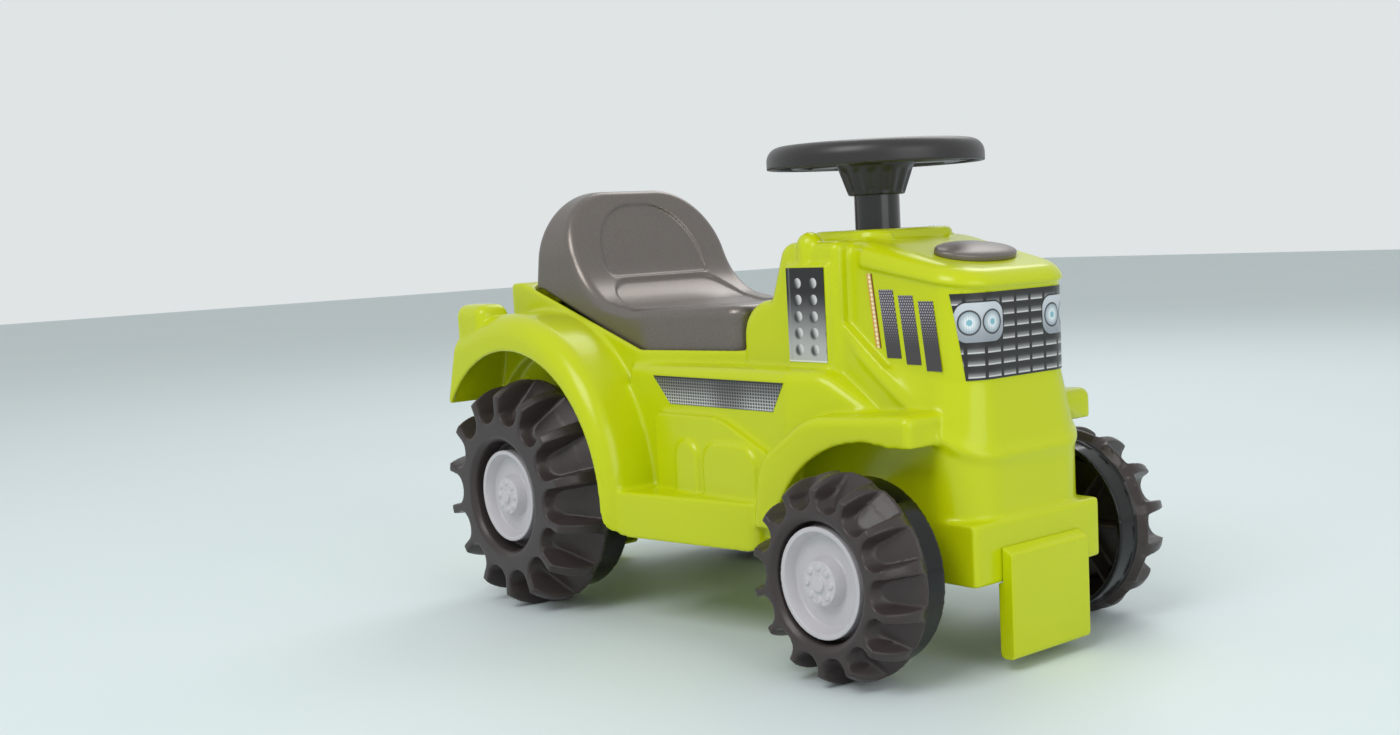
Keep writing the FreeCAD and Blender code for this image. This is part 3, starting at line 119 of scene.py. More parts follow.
# %% Studio
FLOOR_SIZE = 14
bpy.context.scene.view_settings.view_transform = "Standard"
middle = Vector((0, 0, 150)) * MM


def soft_lamp(name, place, size, power):
    """A square lamp that looks at the middle of the tractor."""
    bpy.ops.object.light_add(type="AREA", location=place)
    lamp = bpy.context.object
    lamp.name = name
    lamp.data.size = size
    lamp.data.energy = power
    lamp.rotation_euler = (middle - Vector(place)).to_track_quat("-Z", "Y").to_euler()
    return lamp


soft_lamp("key_lamp", place=(0.5, -1.8, 2.1), size=1.3, power=27)
soft_lamp("fill_lamp", place=(2.2, -0.2, 0.9), size=1.4, power=10)
soft_lamp("edge_lamp", place=(-0.9, 1.5, 1.9), size=1.2, power=12)

bpy.ops.mesh.primitive_plane_add(size=FLOOR_SIZE)
floor = bpy.context.object
floor.name = "floor"

# %% [markdown]
# Finishes are node materials. Writing them node by node hides what they mean, so one small class wraps a
# socket and lets Python's own operators add the Math nodes. A finish has one method that adds any other node.

# %% Shader maths
class Value:
    """One output of a shader node that takes part in Python sums."""

    def __init__(self, finish, socket):
        self.finish = finish
        self.socket = socket

    def output(self, name):
        return Value(self.finish, self.socket.node.outputs[name])

    def maths(self, operation, *terms):
        return self.finish.node("ShaderNodeMath", {"operation": operation}, dict(enumerate(terms)))

    def __add__(self, other):
        return self.maths("ADD", self, other)

    def __radd__(self, other):
        return self.maths("ADD", other, self)

    def __sub__(self, other):
        return self.maths("SUBTRACT", self, other)

    def __rsub__(self, other):
        return self.maths("SUBTRACT", other, self)

    def __mul__(self, other):
        return self.maths("MULTIPLY", self, other)

    def __rmul__(self, other):
        return self.maths("MULTIPLY", other, self)

    def __truediv__(self, other):
        return self.maths("DIVIDE", self, other)

    def __pow__(self, other):
        return self.maths("POWER", self, other)

    def __mod__(self, other):
        return self.maths("FLOORED_MODULO", self, other)

    def __lt__(self, other):
        return self.maths("LESS_THAN", self, other)

    def __gt__(self, other):
        return self.maths("GREATER_THAN", self, other)

    def __abs__(self):
        return self.maths("ABSOLUTE", self)

    def floor(self):
        return self.maths("FLOOR", self)

    def upper(self, other):
        return self.maths("MAXIMUM", self, other)

    def rise(self, low, high):
        """From 0 to 1 while the value goes from low to high, with soft ends."""
        inputs = {"Value": self, "From Min": low, "From Max": high}
        return self.finish.node("ShaderNodeMapRange", {"interpolation_type": "SMOOTHSTEP"}, inputs)


class Finish:
    """A node material, or a sky, with one method that adds a node and feeds its sockets."""

    def __init__(self, name, library=bpy.data.materials, shader="Principled BSDF"):
        self.material = library.new(name)
        self.material.use_nodes = True
        self.tree = self.material.node_tree
        self.shader = self.tree.nodes[shader]

    def node(self, kind, settings=None, inputs=None, output=0):
        made = self.tree.nodes.new(kind)
        for name, setting in (settings or {}).items():
            setattr(made, name, setting)
        for key, source in (inputs or {}).items():
            self.feed(made.inputs[key], source)
        return Value(self, made.outputs[output])

    def feed(self, socket, source):
        if isinstance(source, Value):
            self.tree.links.new(source.socket, socket)
        else:
            socket.default_value = source

    def place(self):
        """The three Object coordinates, in metres."""
        coordinates = self.node("ShaderNodeTexCoord", output="Object")
        x = self.node("ShaderNodeSeparateXYZ", inputs={0: coordinates})
        return x, x.output("Y"), x.output("Z")

    def noise(self, size, detail=2.0):
        """Cloudy value from 0 to 1 whose patches are about this size, in metres."""
        coordinates = self.node("ShaderNodeTexCoord", output="Object")
        inputs = {"Vector": coordinates, "Scale": 1 / size, "Detail": detail}
        return self.node("ShaderNodeTexNoise", inputs=inputs)

    def mix(self, share, first, second):
        return self.node("ShaderNodeMix", {"data_type": "RGBA"}, {0: share, 6: first, 7: second}, 2)

    def grain(self, height, depth, strength=0.5):
        inputs = {"Height": height, "Distance": depth, "Strength": strength}
        return self.node("ShaderNodeBump", inputs=inputs)

    def wear(self, **sockets):
        """Feeds the shader's sockets; an underscore in a name stands for a space."""
        for name, source in sockets.items():
            self.feed(self.shader.inputs[name.replace("_", " ")], source)
        return self.material


def colour(red, green, blue):
    """A screen colour from 0 to 255 as the linear colour that a shader takes."""
    shares = [channel / 255 for channel in (red, green, blue)]
    linear = [share / 12.92 if share <= 0.04045 else ((share + 0.055) / 1.055) ** 2.4 for share in shares]
    return (*linear, 1.0)


def dress(piece, material):
    piece.data.materials.clear()
    piece.data.materials.append(material)
    return piece


print("tools for finishes", Value.__name__, Finish.__name__)

# %% [markdown]
# The sky lights the toy evenly from all sides, as the walls of a bright room do. Where the camera or a
# reflection looks at it directly it is a little paler, so that the background is clean without more light on
# the toy. The floor is pale paper whose colour is faintly cloudy.

# %% Sky and floor
SKY_LIGHT = 0.52
SKY_SEEN = 0.80
PAPER_CLOUD = 0.4
sky_tone = (0.93, 0.97, 0.98, 1)
sky = Finish("pale_sky", bpy.data.worlds, "Background")
sky.wear(Color=sky_tone, Strength=SKY_LIGHT)
rays = sky.node("ShaderNodeLightPath")
seen_rays = rays.output("Is Camera Ray") + rays.output("Is Glossy Ray") + rays.output("Is Transmission Ray")
seen = sky.node("ShaderNodeBackground", None, {"Color": sky_tone, "Strength": SKY_SEEN})
light = Value(sky, sky.shader.outputs[0])
both = sky.node("ShaderNodeMixShader", None, {0: seen_rays, 1: light, 2: seen})
sky.feed(sky.tree.nodes["World Output"].inputs["Surface"], both)
bpy.context.scene.world = sky.material

paper = Finish("pale_floor")
paper_tone = paper.mix(paper.noise(PAPER_CLOUD), colour(226, 238, 240), colour(232, 242, 243))
dress(floor, paper.wear(Base_Color=paper_tone, Roughness=0.6))
print("finishes", sky.material.name, paper.material.name)

# %% [markdown]
# Moulded plastic isn't one flat colour: its surface has a faint orange peel, its gloss changes a little from
# place to place and thick spots look deeper. One function makes these plastics from two near colours, a
# gloss and a grain. The seat and the bonnet cap have metal flakes in the plastic, which is the same idea
# with a share of metal.

# %% Plastics
CLOUD_SIZE = 120 * MM
CLOUD_GLOSS = 0.06
SKIN_GLOSS = 0.07
SKIN_DEPTH = 0.1 * MM
FLAKE_SIZE = 0.6 * MM
FLAKE_SHARE = 0.3
COAT_ROUGHNESS = 0.12
flake_tone = colour(178, 170, 164)


def plastic(name, first, second, gloss, grain_size, metal=0.0, coat=0.0, peel=0.05, shine=0.5):
    """A moulded plastic between two near colours; peel is the strength of its orange peel."""
    finish = Finish(name)
    cloud = finish.noise(CLOUD_SIZE)
    skin = finish.noise(grain_size)
    tone = finish.mix(cloud, first, second)
    if metal:
        flake = finish.noise(FLAKE_SIZE, detail=0.0)
        tone = finish.mix(flake * FLAKE_SHARE, tone, flake_tone)
    rough = gloss + (skin - 0.5) * SKIN_GLOSS + (cloud - 0.5) * CLOUD_GLOSS
    return finish.wear(Base_Color=tone, Roughness=rough, Metallic=metal, Specular_IOR_Level=shine,
                       Coat_Weight=coat, Coat_Roughness=COAT_ROUGHNESS,
                       Normal=finish.grain(skin, SKIN_DEPTH, peel))


lime = plastic("lime_moulding", colour(196, 208, 4), colour(204, 214, 10), gloss=0.25, grain_size=5.0 * MM,
               coat=0.1, peel=0.012, shine=0.34)
seat_grey = plastic("seat_metal_grey", colour(98, 90, 86), colour(110, 102, 97), gloss=0.31,
                    grain_size=1.2 * MM, metal=0.6)
cap_grey = plastic("cap_metal_grey", colour(96, 88, 84), colour(108, 99, 94), gloss=0.34, grain_size=1.0 * MM,
                   metal=0.5)
wheel_black = plastic("steering_black", colour(38, 35, 36), colour(46, 42, 42), gloss=0.36, grain_size=0.9 * MM,
                      peel=0.1)
column_black = plastic("column_black", colour(24, 23, 24), colour(30, 28, 29), gloss=0.22, grain_size=1.4 * MM,
                       coat=0.3)
hub_grey = plastic("hub_grey", colour(192, 188, 192), colour(204, 200, 203), gloss=0.34, grain_size=1.0 * MM,
                   coat=0.15)
sleeve_black = plastic("sleeve_black", colour(30, 29, 30), colour(36, 34, 35), gloss=0.42, grain_size=1.0 * MM)
moulded = (lime, seat_grey, cap_grey, wheel_black, column_black, hub_grey, sleeve_black)
print("plastics", [material.name for material in moulded])

# %% [markdown]
# The wheels are hollow mouldings in one charcoal plastic, but the smooth ring on the inner side is polished
# and looks black, while the tread is dull. The ring's edge is a plane across the axle, so the finish asks how
# far a point lies from the tractor's middle and changes colour and gloss there.

# %% Tyres and steel
TYRE_GRAIN = 1.1 * MM
TYRE_CLOUD = 60 * MM
RING_ROUGHNESS = 0.14
TREAD_ROUGHER = 0.18
STREAKS_PER_METRE = 9000
band_widths = {"rear": 20.0, "front": 17.0}


def tyre(name, band_edge):
    """Charcoal plastic, polished to black between the tractor's middle and the edge of the ring."""
    finish = Finish(name)
    x, y, z = finish.place()
    tread = (abs(y) > band_edge) * 1.0
    skin = finish.noise(TYRE_GRAIN)
    cloud = finish.noise(TYRE_CLOUD)
    dull = finish.mix(cloud, colour(58, 50, 50), colour(66, 58, 57))
    tone = finish.mix(tread, colour(14, 13, 13), dull)
    rough = RING_ROUGHNESS + tread * (TREAD_ROUGHER + (cloud - 0.5) * 0.1) + (skin - 0.5) * 0.08
    return finish.wear(Base_Color=tone, Roughness=rough, Specular_IOR_Level=0.35,
                       Normal=finish.grain(skin, SKIN_DEPTH, 0.15))


def steel(name):
    """Drawn rod: fine streaks round it that change along its length."""
    finish = Finish(name)
    x, y, z = finish.place()
    inputs = {"W": y * STREAKS_PER_METRE, "Detail": 3.0}
    streak = finish.node("ShaderNodeTexNoise", {"noise_dimensions": "1D"}, inputs)
    tone = finish.mix(streak, colour(150, 152, 156), colour(186, 188, 190))
    return finish.wear(Base_Color=tone, Metallic=1.0, Roughness=0.28 + streak * 0.16)


tyres = {}
for end, width in band_widths.items():
    band_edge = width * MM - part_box(end + "_right_wheel")[1].y
    tyres[end] = tyre(end + "_tyre", band_edge)
    print(tyres[end].name, "ring's edge at", round(band_edge / MM, 2), "mm")
axle_steel = steel("axle_steel")
print("steel", axle_steel.name)

# %% [markdown]
# The labels are printed films, stuck on the moulding. Their plates come from the construction model, and each
# print is worked out from the Object coordinates, in millimetres, so it stays sharp at any distance and needs
# no picture. A few helpers are enough for all of them: the distance from a point, a soft-edged disc, a pattern
# that repeats at a pitch, and the places on a label.

# %% Print helpers
FILM_SOFTNESS = 0.25
FILM_HAZE = 20 * MM


def reach(across, upwards):
    """Distance of a place from the middle of its cell."""
    return (across * across + upwards * upwards) ** 0.5


def disc(distance, radius, soft=FILM_SOFTNESS):
    """1 inside a radius and 0 outside it, with a soft edge."""
    return 1 - distance.rise(radius - soft, radius + soft)


def cell(value, pitch, start):
    """Distance from the nearest of the lines that stand one pitch apart."""
    return (value - start + pitch / 2) % pitch - pitch / 2


def grey(level, warm=0):
    return colour(level + warm, level, level)


def film_places(film, rear, low):
    """Millimetres forward of a label's rear edge and above its lower edge."""
    x, y, z = film.place()
    return (x / MM - rear), (z / MM - low)


def print_film(film, tone):
    """A printed film has the gloss of a thin clear layer."""
    haze = film.noise(FILM_HAZE)
    return film.wear(Base_Color=tone, Roughness=0.26 + haze * 0.1, Coat_Weight=0.2, Coat_Roughness=0.15)


print("labels", [name for name in nodes if slot_of[name] == "printed_film"])

# %% [markdown]
# The exhaust label stands for a pierced heat shield: a plate that runs from black to silver, with two columns
# of round studs. Each stud is lit from the front and throws a shadow backwards, which two discs with shifted
# middles give.

# %% Exhaust label
STUD_RADIUS = 3.3
STUD_PITCH = (14.5, 10.55)
STUD_START = (10.5, 8.0)
STUD_SHADE = (-3.0, 2.6)
SHADOW_SHIFT = (1.2, 0.6)
SHADOW_SOFTNESS = 1.2
SILVER_RANGE = (46, 2)
BARE_TOP = 5.0
FOOT_LINE = 1.1
REAR_LINE = 2.6


def exhaust_film():
    """Studs and their shadows on a plate that is silver at its foot."""
    film = Finish("exhaust_film")
    low, high = (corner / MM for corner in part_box("exhaust_label_right"))
    forward, rise = film_places(film, low.x, low.z)
    across = cell(forward, STUD_PITCH[0], STUD_START[0])
    upwards = cell(rise, STUD_PITCH[1], STUD_START[1])
    inside = (rise < high.z - low.z - BARE_TOP) * 1.0
    plate = film.mix(rise.rise(*SILVER_RANGE), grey(10), grey(186))
    plate = film.mix(disc(abs(forward - REAR_LINE), 0.7, 0.6) * 0.35, plate, grey(150))
    behind = reach(across + SHADOW_SHIFT[0], upwards + SHADOW_SHIFT[1])
    shadow = disc(behind, STUD_RADIUS, SHADOW_SOFTNESS) * inside
    stud = disc(reach(across, upwards), STUD_RADIUS) * inside
    shine = film.mix((across + upwards * 0.4).rise(*STUD_SHADE), grey(46), grey(214))
    tone = film.mix(stud, film.mix(shadow * 0.85, plate, grey(8)), shine)
    return print_film(film, film.mix((rise < FOOT_LINE) * 1.0, tone, grey(226)))


exhaust = exhaust_film()
print("film", exhaust.name)

# %% [markdown]
# The side label stands for a wire mesh over an air intake: dark holes in a fine grey grid that is bright at
# its foot and dull at its top, with one broad shadow across it as on rolled sheet.

# %% Side mesh label
MESH_PITCH = (2.6, 2.1)
MESH_HOLE = (0.85, 0.66)
MESH_SOFTNESS = 0.12
WIRE_RANGE = (16, 1)
FOLD_PLACE = 0.6
FOLD_RANGE = (4, 26)
TOP_LINE = (17.4, 18)


def mesh_film():
    """Dark holes in a grid of wires, with the shadow of a fold."""
    film = Finish("side_mesh_film")
    low, high = (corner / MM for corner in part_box("mesh_label_right"))
    forward, rise = film_places(film, low.x, low.z)
    across = disc(abs(cell(forward, MESH_PITCH[0], 0)), MESH_HOLE[0], MESH_SOFTNESS)
    upwards = disc(abs(cell(rise, MESH_PITCH[1], 0)), MESH_HOLE[1], MESH_SOFTNESS)
    shadow = 1 - abs(forward - FOLD_PLACE * (high.x - low.x)).rise(*FOLD_RANGE)
    wire = film.mix(rise.rise(*WIRE_RANGE), grey(112), grey(196))
    wire = film.mix(shadow * 0.6, wire, grey(64))
    tone = film.mix(across * upwards, wire, grey(20, 2))
    return print_film(film, film.mix(rise.rise(*TOP_LINE), tone, grey(24)))


side_mesh = mesh_film()
print("film", side_mesh.name)

# %% [markdown]
# On the bonnet's side a leaning amber strip stands for a turn lamp, and three leaning slots for air vents.
# All lean alike, so a sheared coordinate tells strip and slots apart. The vents' mesh is rows of dots, every
# other row moved by half a pitch, that fade out downwards.

# %% Bonnet side label
LEAN = 0.131
DOT_PITCH = (1.95, 1.65)
DOT_RADIUS = 0.6
DOT_RANGE = (12, 40)
VENT_RANGE = (8, 40)
STRIP_WIDTH = 6.0
STRIP_EDGE = 3.7
BEAD_PLACE = 2.2
BEAD_PITCH = 2.7
BEAD_RADIUS = 1.1


def bonnet_film():
    """A beaded amber strip and dotted vents, told apart by a sheared coordinate."""
    film = Finish("bonnet_side_film")
    low, high = (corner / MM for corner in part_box("bonnet_slots_label_right"))
    forward, rise = film_places(film, low.x, low.z)
    height = high.z - low.z
    upright = forward - (height - rise) * LEAN
    row = (rise / DOT_PITCH[1]).floor()
    across = cell(upright + (row % 2) * (DOT_PITCH[0] / 2), DOT_PITCH[0], 0)
    upwards = cell(rise, DOT_PITCH[1], DOT_PITCH[1] / 2)
    dot = disc(reach(across, upwards), DOT_RADIUS, 0.2) * rise.rise(*DOT_RANGE)
    vent = film.mix(rise.rise(*VENT_RANGE), colour(62, 56, 60), colour(44, 40, 46))
    vent = film.mix(dot, vent, colour(176, 168, 182))
    bead = disc(reach(upright - BEAD_PLACE, cell(rise, BEAD_PITCH, 0)), BEAD_RADIUS, 0.5)
    amber = film.mix(bead, colour(216, 158, 62), colour(250, 236, 198))
    amber = film.mix((upright > STRIP_EDGE) * 1.0, amber, colour(120, 74, 24))
    return print_film(film, film.mix((upright > STRIP_WIDTH) * 1.0, amber, vent))


bonnet_side = bonnet_film()
print("film", bonnet_side.name)

# %% [markdown]
# The grille label wraps round the nose, so it is laid out on the length along the surface: flat in the middle
# and an arc at each side. It shows rows of louvres with bright lower edges and, on each side, two plain round
# lamps in one rounded bezel.

# %% Grille label
NOSE_FLAT = 27.0
NOSE_ROUND = 26.0
LOUVRE_PITCH = (13.4, 7.3)
LOUVRE_HALF = (5.5, 2.3)
BLADE_RANGE = (1.6, -1.9)
BLADE_EDGE = 1.9
BEZEL = (36.0, 34.5)
BEZEL_CORNER = 8.0
BEZEL_HALF = (17.5, 12.0)
LAMP_SPREAD = 8.0
LAMP_RADIUS = 7.0
LAMP_FLUTES = 4.2
BULB_RADIUS = 1.9


def grille_film():
    """Louvres over the whole label, then on each side a bezel and its two lamps."""
    film = Finish("grille_film")
    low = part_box("grille_label")[0] / MM
    x, y, z = film.place()
    side = abs(y / MM)
    rise = z / MM - low.z
    beyond = (side - NOSE_FLAT).upper(0.0)
    bend = beyond.maths("ARCSINE", beyond / NOSE_ROUND)
    wrap = side - beyond + bend * NOSE_ROUND
    across = cell(wrap, LOUVRE_PITCH[0], 0)
    upwards = cell(rise, LOUVRE_PITCH[1], LOUVRE_PITCH[1] / 2)
    louvre = disc(abs(across), LOUVRE_HALF[0]) * disc(abs(upwards), LOUVRE_HALF[1])
    blade = film.mix(upwards.rise(*BLADE_RANGE), grey(40), grey(150))
    blade = film.mix(disc(abs(upwards + BLADE_EDGE), 0.4, 0.3), blade, grey(214))
    tone = film.mix(louvre, grey(26, 2), blade)
    corner_across = (abs(wrap - BEZEL[0]) - (BEZEL_HALF[0] - BEZEL_CORNER)).upper(0.0)
    corner_up = (abs(rise - BEZEL[1]) - (BEZEL_HALF[1] - BEZEL_CORNER)).upper(0.0)
    edge = reach(corner_across, corner_up)
    tone = film.mix(disc(edge, BEZEL_CORNER + 0.8, 0.4), tone, grey(12))
    upper_half = rise.rise(BEZEL[1] - BEZEL_HALF[1], BEZEL[1] + BEZEL_HALF[1])
    shell = film.mix(upper_half, colour(150, 156, 164), colour(206, 212, 218))
    tone = film.mix(disc(edge, BEZEL_CORNER - 0.2), tone, shell)
    lamp_across = abs(wrap - BEZEL[0]) - LAMP_SPREAD
    lamp_up = rise - BEZEL[1]
    lamp = reach(lamp_across, lamp_up)
    flute = lamp.maths("SINE", lamp_across * LAMP_FLUTES)
    lens = film.mix(lamp.rise(1.5, LAMP_RADIUS), colour(238, 246, 248), colour(160, 174, 184))
    lens = film.mix((flute > 0.2) * 0.22, lens, colour(120, 134, 146))
    tone = film.mix(disc(lamp, LAMP_RADIUS + 0.6), tone, grey(58))
    tone = film.mix(disc(lamp, LAMP_RADIUS - 0.5), tone, lens)
    return print_film(film, film.mix(disc(lamp, BULB_RADIUS, 0.4), tone, colour(132, 186, 200)))


grille = grille_film()
print("film", grille.name)

# %% [markdown]
# The dash label faces the rider. Two plain dials with ticks and a needle are worked out from the distance and
# the angle about each dial's middle, and a row of small lamps fills the space between them.

# %% Dash label
DIAL_PLACE = 19.0
DIAL_RADIUS = 9.0
TICK_TURN = math.radians(30)
TICK_PLACE = 7.0
NEEDLE_LENGTH = 6.0
NEEDLE_SLOPE = 0.8
SMALL_LAMP_PITCH = 5.0
SMALL_LAMP_HEIGHT = 5.0
SMALL_LAMP_RADIUS = 1.5
SMALL_LAMP_ROW = 6.6


def dash_film():
    """Two dials, told apart only by the side they are on, and small lamps between them."""
    film = Finish("dash_film")
    low, high = (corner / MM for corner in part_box("dash_label"))
    x, y, z = film.place()
    slope = (high - low).xz.length / (high.z - low.z)
    rise = (z / MM - (low.z + high.z) / 2) * slope
    across = abs(y / MM) - DIAL_PLACE
    away = reach(across, rise)
    turn_round = across.maths("ARCTAN2", rise, across)
    face = film.mix(disc(away, DIAL_RADIUS), grey(34), grey(14))
    tick = disc(abs(cell(turn_round, TICK_TURN, 0)), 0.06, 0.03) * disc(abs(away - TICK_PLACE), 1.0)
    ring = disc(abs(away - DIAL_RADIUS), 0.5)
    needle = disc(abs(rise - across * NEEDLE_SLOPE), 0.5) * disc(away, NEEDLE_LENGTH) * (across > 0)
    tone = film.mix((tick + ring).rise(0, 1), face, grey(208))
    tone = film.mix(needle, tone, colour(212, 70, 30))
    beside = cell(y / MM, SMALL_LAMP_PITCH, 0)
    lamp = disc(reach(beside, rise - SMALL_LAMP_HEIGHT), SMALL_LAMP_RADIUS) * disc(abs(y / MM), SMALL_LAMP_ROW)
    return print_film(film, film.mix(lamp, tone, colour(206, 196, 60)))


dash = dash_film()
films = {"exhaust": exhaust, "mesh": side_mesh, "bonnet_slots": bonnet_side, "grille": grille, "dash": dash}
print("films", list(films))

# %% [markdown]
# Each large piece starts as a copy of its construction solid, so it is in the right place. A moulding has no
# sharp edges: the copy is melted into an even skin by a voxel remesh and rubbed smooth, which rounds outer
# edges and fills inner corners alike. The skin has many small faces, so it is thinned, and its smooth
# shading is carried over from the full skin so that flat faces stay calm.

# %% Soft skins
SAME_PLACE = 0.002 * MM


def take(piece):
    """Makes one piece the only one selected, and the active one."""
    bpy.ops.object.select_all(action="DESELECT")
    piece.select_set(True)
    bpy.context.view_layer.objects.active = piece
    return piece


def copy_of(node, name):
    """A copy of a construction solid with its loose triangles merged."""
    piece = bpy.data.objects.new(name, nodes[node].data.copy())
    bpy.context.collection.objects.link(piece)
    take(piece)
    bpy.ops.object.mode_set(mode="EDIT")
    bpy.ops.mesh.select_all(action="SELECT")
    bpy.ops.mesh.remove_doubles(threshold=SAME_PLACE)
    bpy.ops.mesh.customdata_custom_splitnormals_clear()
    bpy.ops.object.mode_set(mode="OBJECT")
    return piece


def melt(piece, voxel, rubs):
    """One even skin over a piece, rubbed smooth."""
    take(piece)
    skin = piece.modifiers.new("skin", "REMESH")
    skin.mode = "VOXEL"
    skin.voxel_size = voxel
    bpy.ops.object.modifier_apply(modifier="skin")
    rub = piece.modifiers.new("rub", "SMOOTH")
    rub.factor = 0.5
    rub.iterations = rubs
    bpy.ops.object.modifier_apply(modifier="rub")
    bpy.ops.object.shade_smooth()
    return piece


def triangles(piece):
    return sum(len(face.vertices) - 2 for face in piece.data.polygons)


def thin(piece, most):
    """Fewer faces, with the shading of the full skin."""
    count = triangles(piece)
    if count <= most:
        return piece
    full = bpy.data.objects.new("full_skin", piece.data.copy())
    bpy.context.collection.objects.link(full)
    take(piece)
    cut = piece.modifiers.new("cut", "DECIMATE")
    cut.ratio = most / count
    bpy.ops.object.modifier_apply(modifier="cut")
    shade = piece.modifiers.new("shade", "DATA_TRANSFER")
    shade.object = full
    shade.use_loop_data = True
    shade.data_types_loops = {"CUSTOM_NORMAL"}
    shade.loop_mapping = "POLYINTERP_NEAREST"
    bpy.ops.object.modifier_apply(modifier="shade")
    bpy.data.objects.remove(full)
    return piece


def stand_for(piece, node, material):
    """Dresses a piece and puts it in the place of its construction solid."""
    dress(piece, material)
    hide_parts(node)
    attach(piece, nodes[node]["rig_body"])
    print(piece.name, triangles(piece), "triangles")
    return piece


def read(piece, what):
    """One row of three numbers for each vertex: its place in mm, or its normal."""
    numbers = numpy.empty(len(piece.data.vertices) * 3, dtype=numpy.float32)
    piece.data.vertices.foreach_get(what, numbers)
    rows = numbers.reshape(-1, 3).astype(float)
    return rows / MM if what == "co" else rows


def put(piece, places):
    """Puts the vertices at new places, given in mm."""
    piece.data.vertices.foreach_set("co", (places * MM).astype(numpy.float32).ravel())
    piece.data.update()


def soft_step(value, low, high):
    """From 0 to 1 while the values go from low to high, with soft ends."""
    share = numpy.clip((value - low) / (high - low), 0, 1)
    return share * share * (3 - 2 * share)


print("tools for soft skins")

# %% [markdown]
# The body is one blow moulding. Round the bonnet its roof stands out over the sides and the grille as a
# rounded lip, which catches a long highlight. The lip follows a line that falls towards the nose: what lies
# above that line is pushed outwards, along the level part of each vertex's normal, so the roof stays flat. A
# second line, the crease between nose and apron, gets a low rounded bead in the same way.

# %% Body with the lip and the crease of its bonnet
LIP_PROUD = 2.6
LIP_REAR = (160.0, 244.5)
LIP_FRONT = (241.0, 230.5)
LIP_HEIGHT = 2.4
LIP_START = 8.0
CREASE_FRONT = (246.0, 131.0)
CREASE_SLOPE = 0.80
CREASE_BEND = 24.0
CREASE_REAR = 146.0
CREASE_SIDE = 64.0
CREASE_START = 20.0
CREASE_HALF = 3.6
CREASE_PROUD = 1.8
CREASE_FACING = 0.3
NOSE_DEPTH = 12.0
BODY_TRIANGLES = 190000


def raise_lip(piece):
    """Pushes the roof's edge outwards above a line that falls towards the nose."""
    places = read(piece, "co")
    normals = read(piece, "normal")
    fall = (LIP_REAR[1] - LIP_FRONT[1]) / (LIP_FRONT[0] - LIP_REAR[0])
    line = LIP_REAR[1] - (places[:, 0] - LIP_REAR[0]) * fall
    share = soft_step(places[:, 2], line, line + LIP_HEIGHT)
    share *= soft_step(places[:, 0], LIP_REAR[0] - LIP_START, LIP_REAR[0])
    outside = normals[:, 0] * (places[:, 0] - LIP_REAR[0]) + normals[:, 1] * places[:, 1] > 0
    push = LIP_PROUD * share * outside
    places[:, 0] += normals[:, 0] * push
    places[:, 1] += normals[:, 1] * push
    put(piece, places)


def raise_crease(piece):
    """A rounded bead along the line where the nose sweeps out to the apron."""
    places = read(piece, "co")
    normals = read(piece, "normal")
    back_run = CREASE_FRONT[0] - places[:, 0]
    line = CREASE_FRONT[1] + CREASE_SLOPE * (numpy.hypot(back_run, CREASE_BEND) + back_run - CREASE_BEND) / 2
    away = (places[:, 2] - line) / numpy.hypot(1, CREASE_SLOPE)
    share = numpy.exp(-(away / CREASE_HALF) ** 2)
    share *= soft_step(places[:, 0], CREASE_REAR, CREASE_REAR + CREASE_START)
    facing = normals[:, 0] * CREASE_FACING + normals[:, 1] * numpy.sign(places[:, 1])
    outside = (facing > 0) & (abs(places[:, 1]) < CREASE_SIDE)
    front = (places[:, 0] > CREASE_FRONT[0] - NOSE_DEPTH) & (normals[:, 0] > 0)
    places += normals * (CREASE_PROUD * share * (outside | front))[:, None]
    put(piece, places)


body = melt(copy_of("body_shell", "body_moulding"), voxel=1.3 * MM, rubs=9)
raise_lip(body)
raise_crease(body)
thin(body, BODY_TRIANGLES)
stand_for(body, "body_shell", lime)

# %% [markdown]
# The seat is moulded in a metallic grey, the legs in the body's lime, and the bonnet cap is a plain dome.
# They are melted in the same way, with a finer skin for the smaller ones. The steering wheel's hub has
# upright flutes, so its cone is drawn in and out around the column by a cosine before it is thinned.

# %% Seat, steering wheel, cap and legs
FLUTES = 14
FLUTE_DEPTH = 1.3
FLUTE_RANGE = (291.0, 310.0)
FLUTE_FADE = (3.0, 5.0)
CONE_INSIDE = (15.2, 17.5)
CONE_OUTSIDE = (27.0, 30.0)
PIECE_TRIANGLES = 120000


def flute_hub(piece):
    """Draws the steering hub's cone in and out around the column."""
    places = read(piece, "co")
    axis = next(joint for joint in frame["joints"] if joint["name"] == "steering_turn")["pos_m"][0] / MM
    x = places[:, 0] - axis
    y = places[:, 1]
    distance = numpy.hypot(x, y)
    share = soft_step(places[:, 2], FLUTE_RANGE[0], FLUTE_RANGE[0] + FLUTE_FADE[0])
    share *= 1 - soft_step(places[:, 2], FLUTE_RANGE[1] - FLUTE_FADE[1], FLUTE_RANGE[1])
    share *= soft_step(distance, *CONE_INSIDE) * (1 - soft_step(distance, *CONE_OUTSIDE))
    wave = 0.5 + 0.5 * numpy.cos(FLUTES * numpy.arctan2(y, x))
    scale = 1 - FLUTE_DEPTH * share * wave / numpy.maximum(distance, 1)
    places[:, 0] = axis + x * scale
    places[:, 1] = y * scale
    put(piece, places)


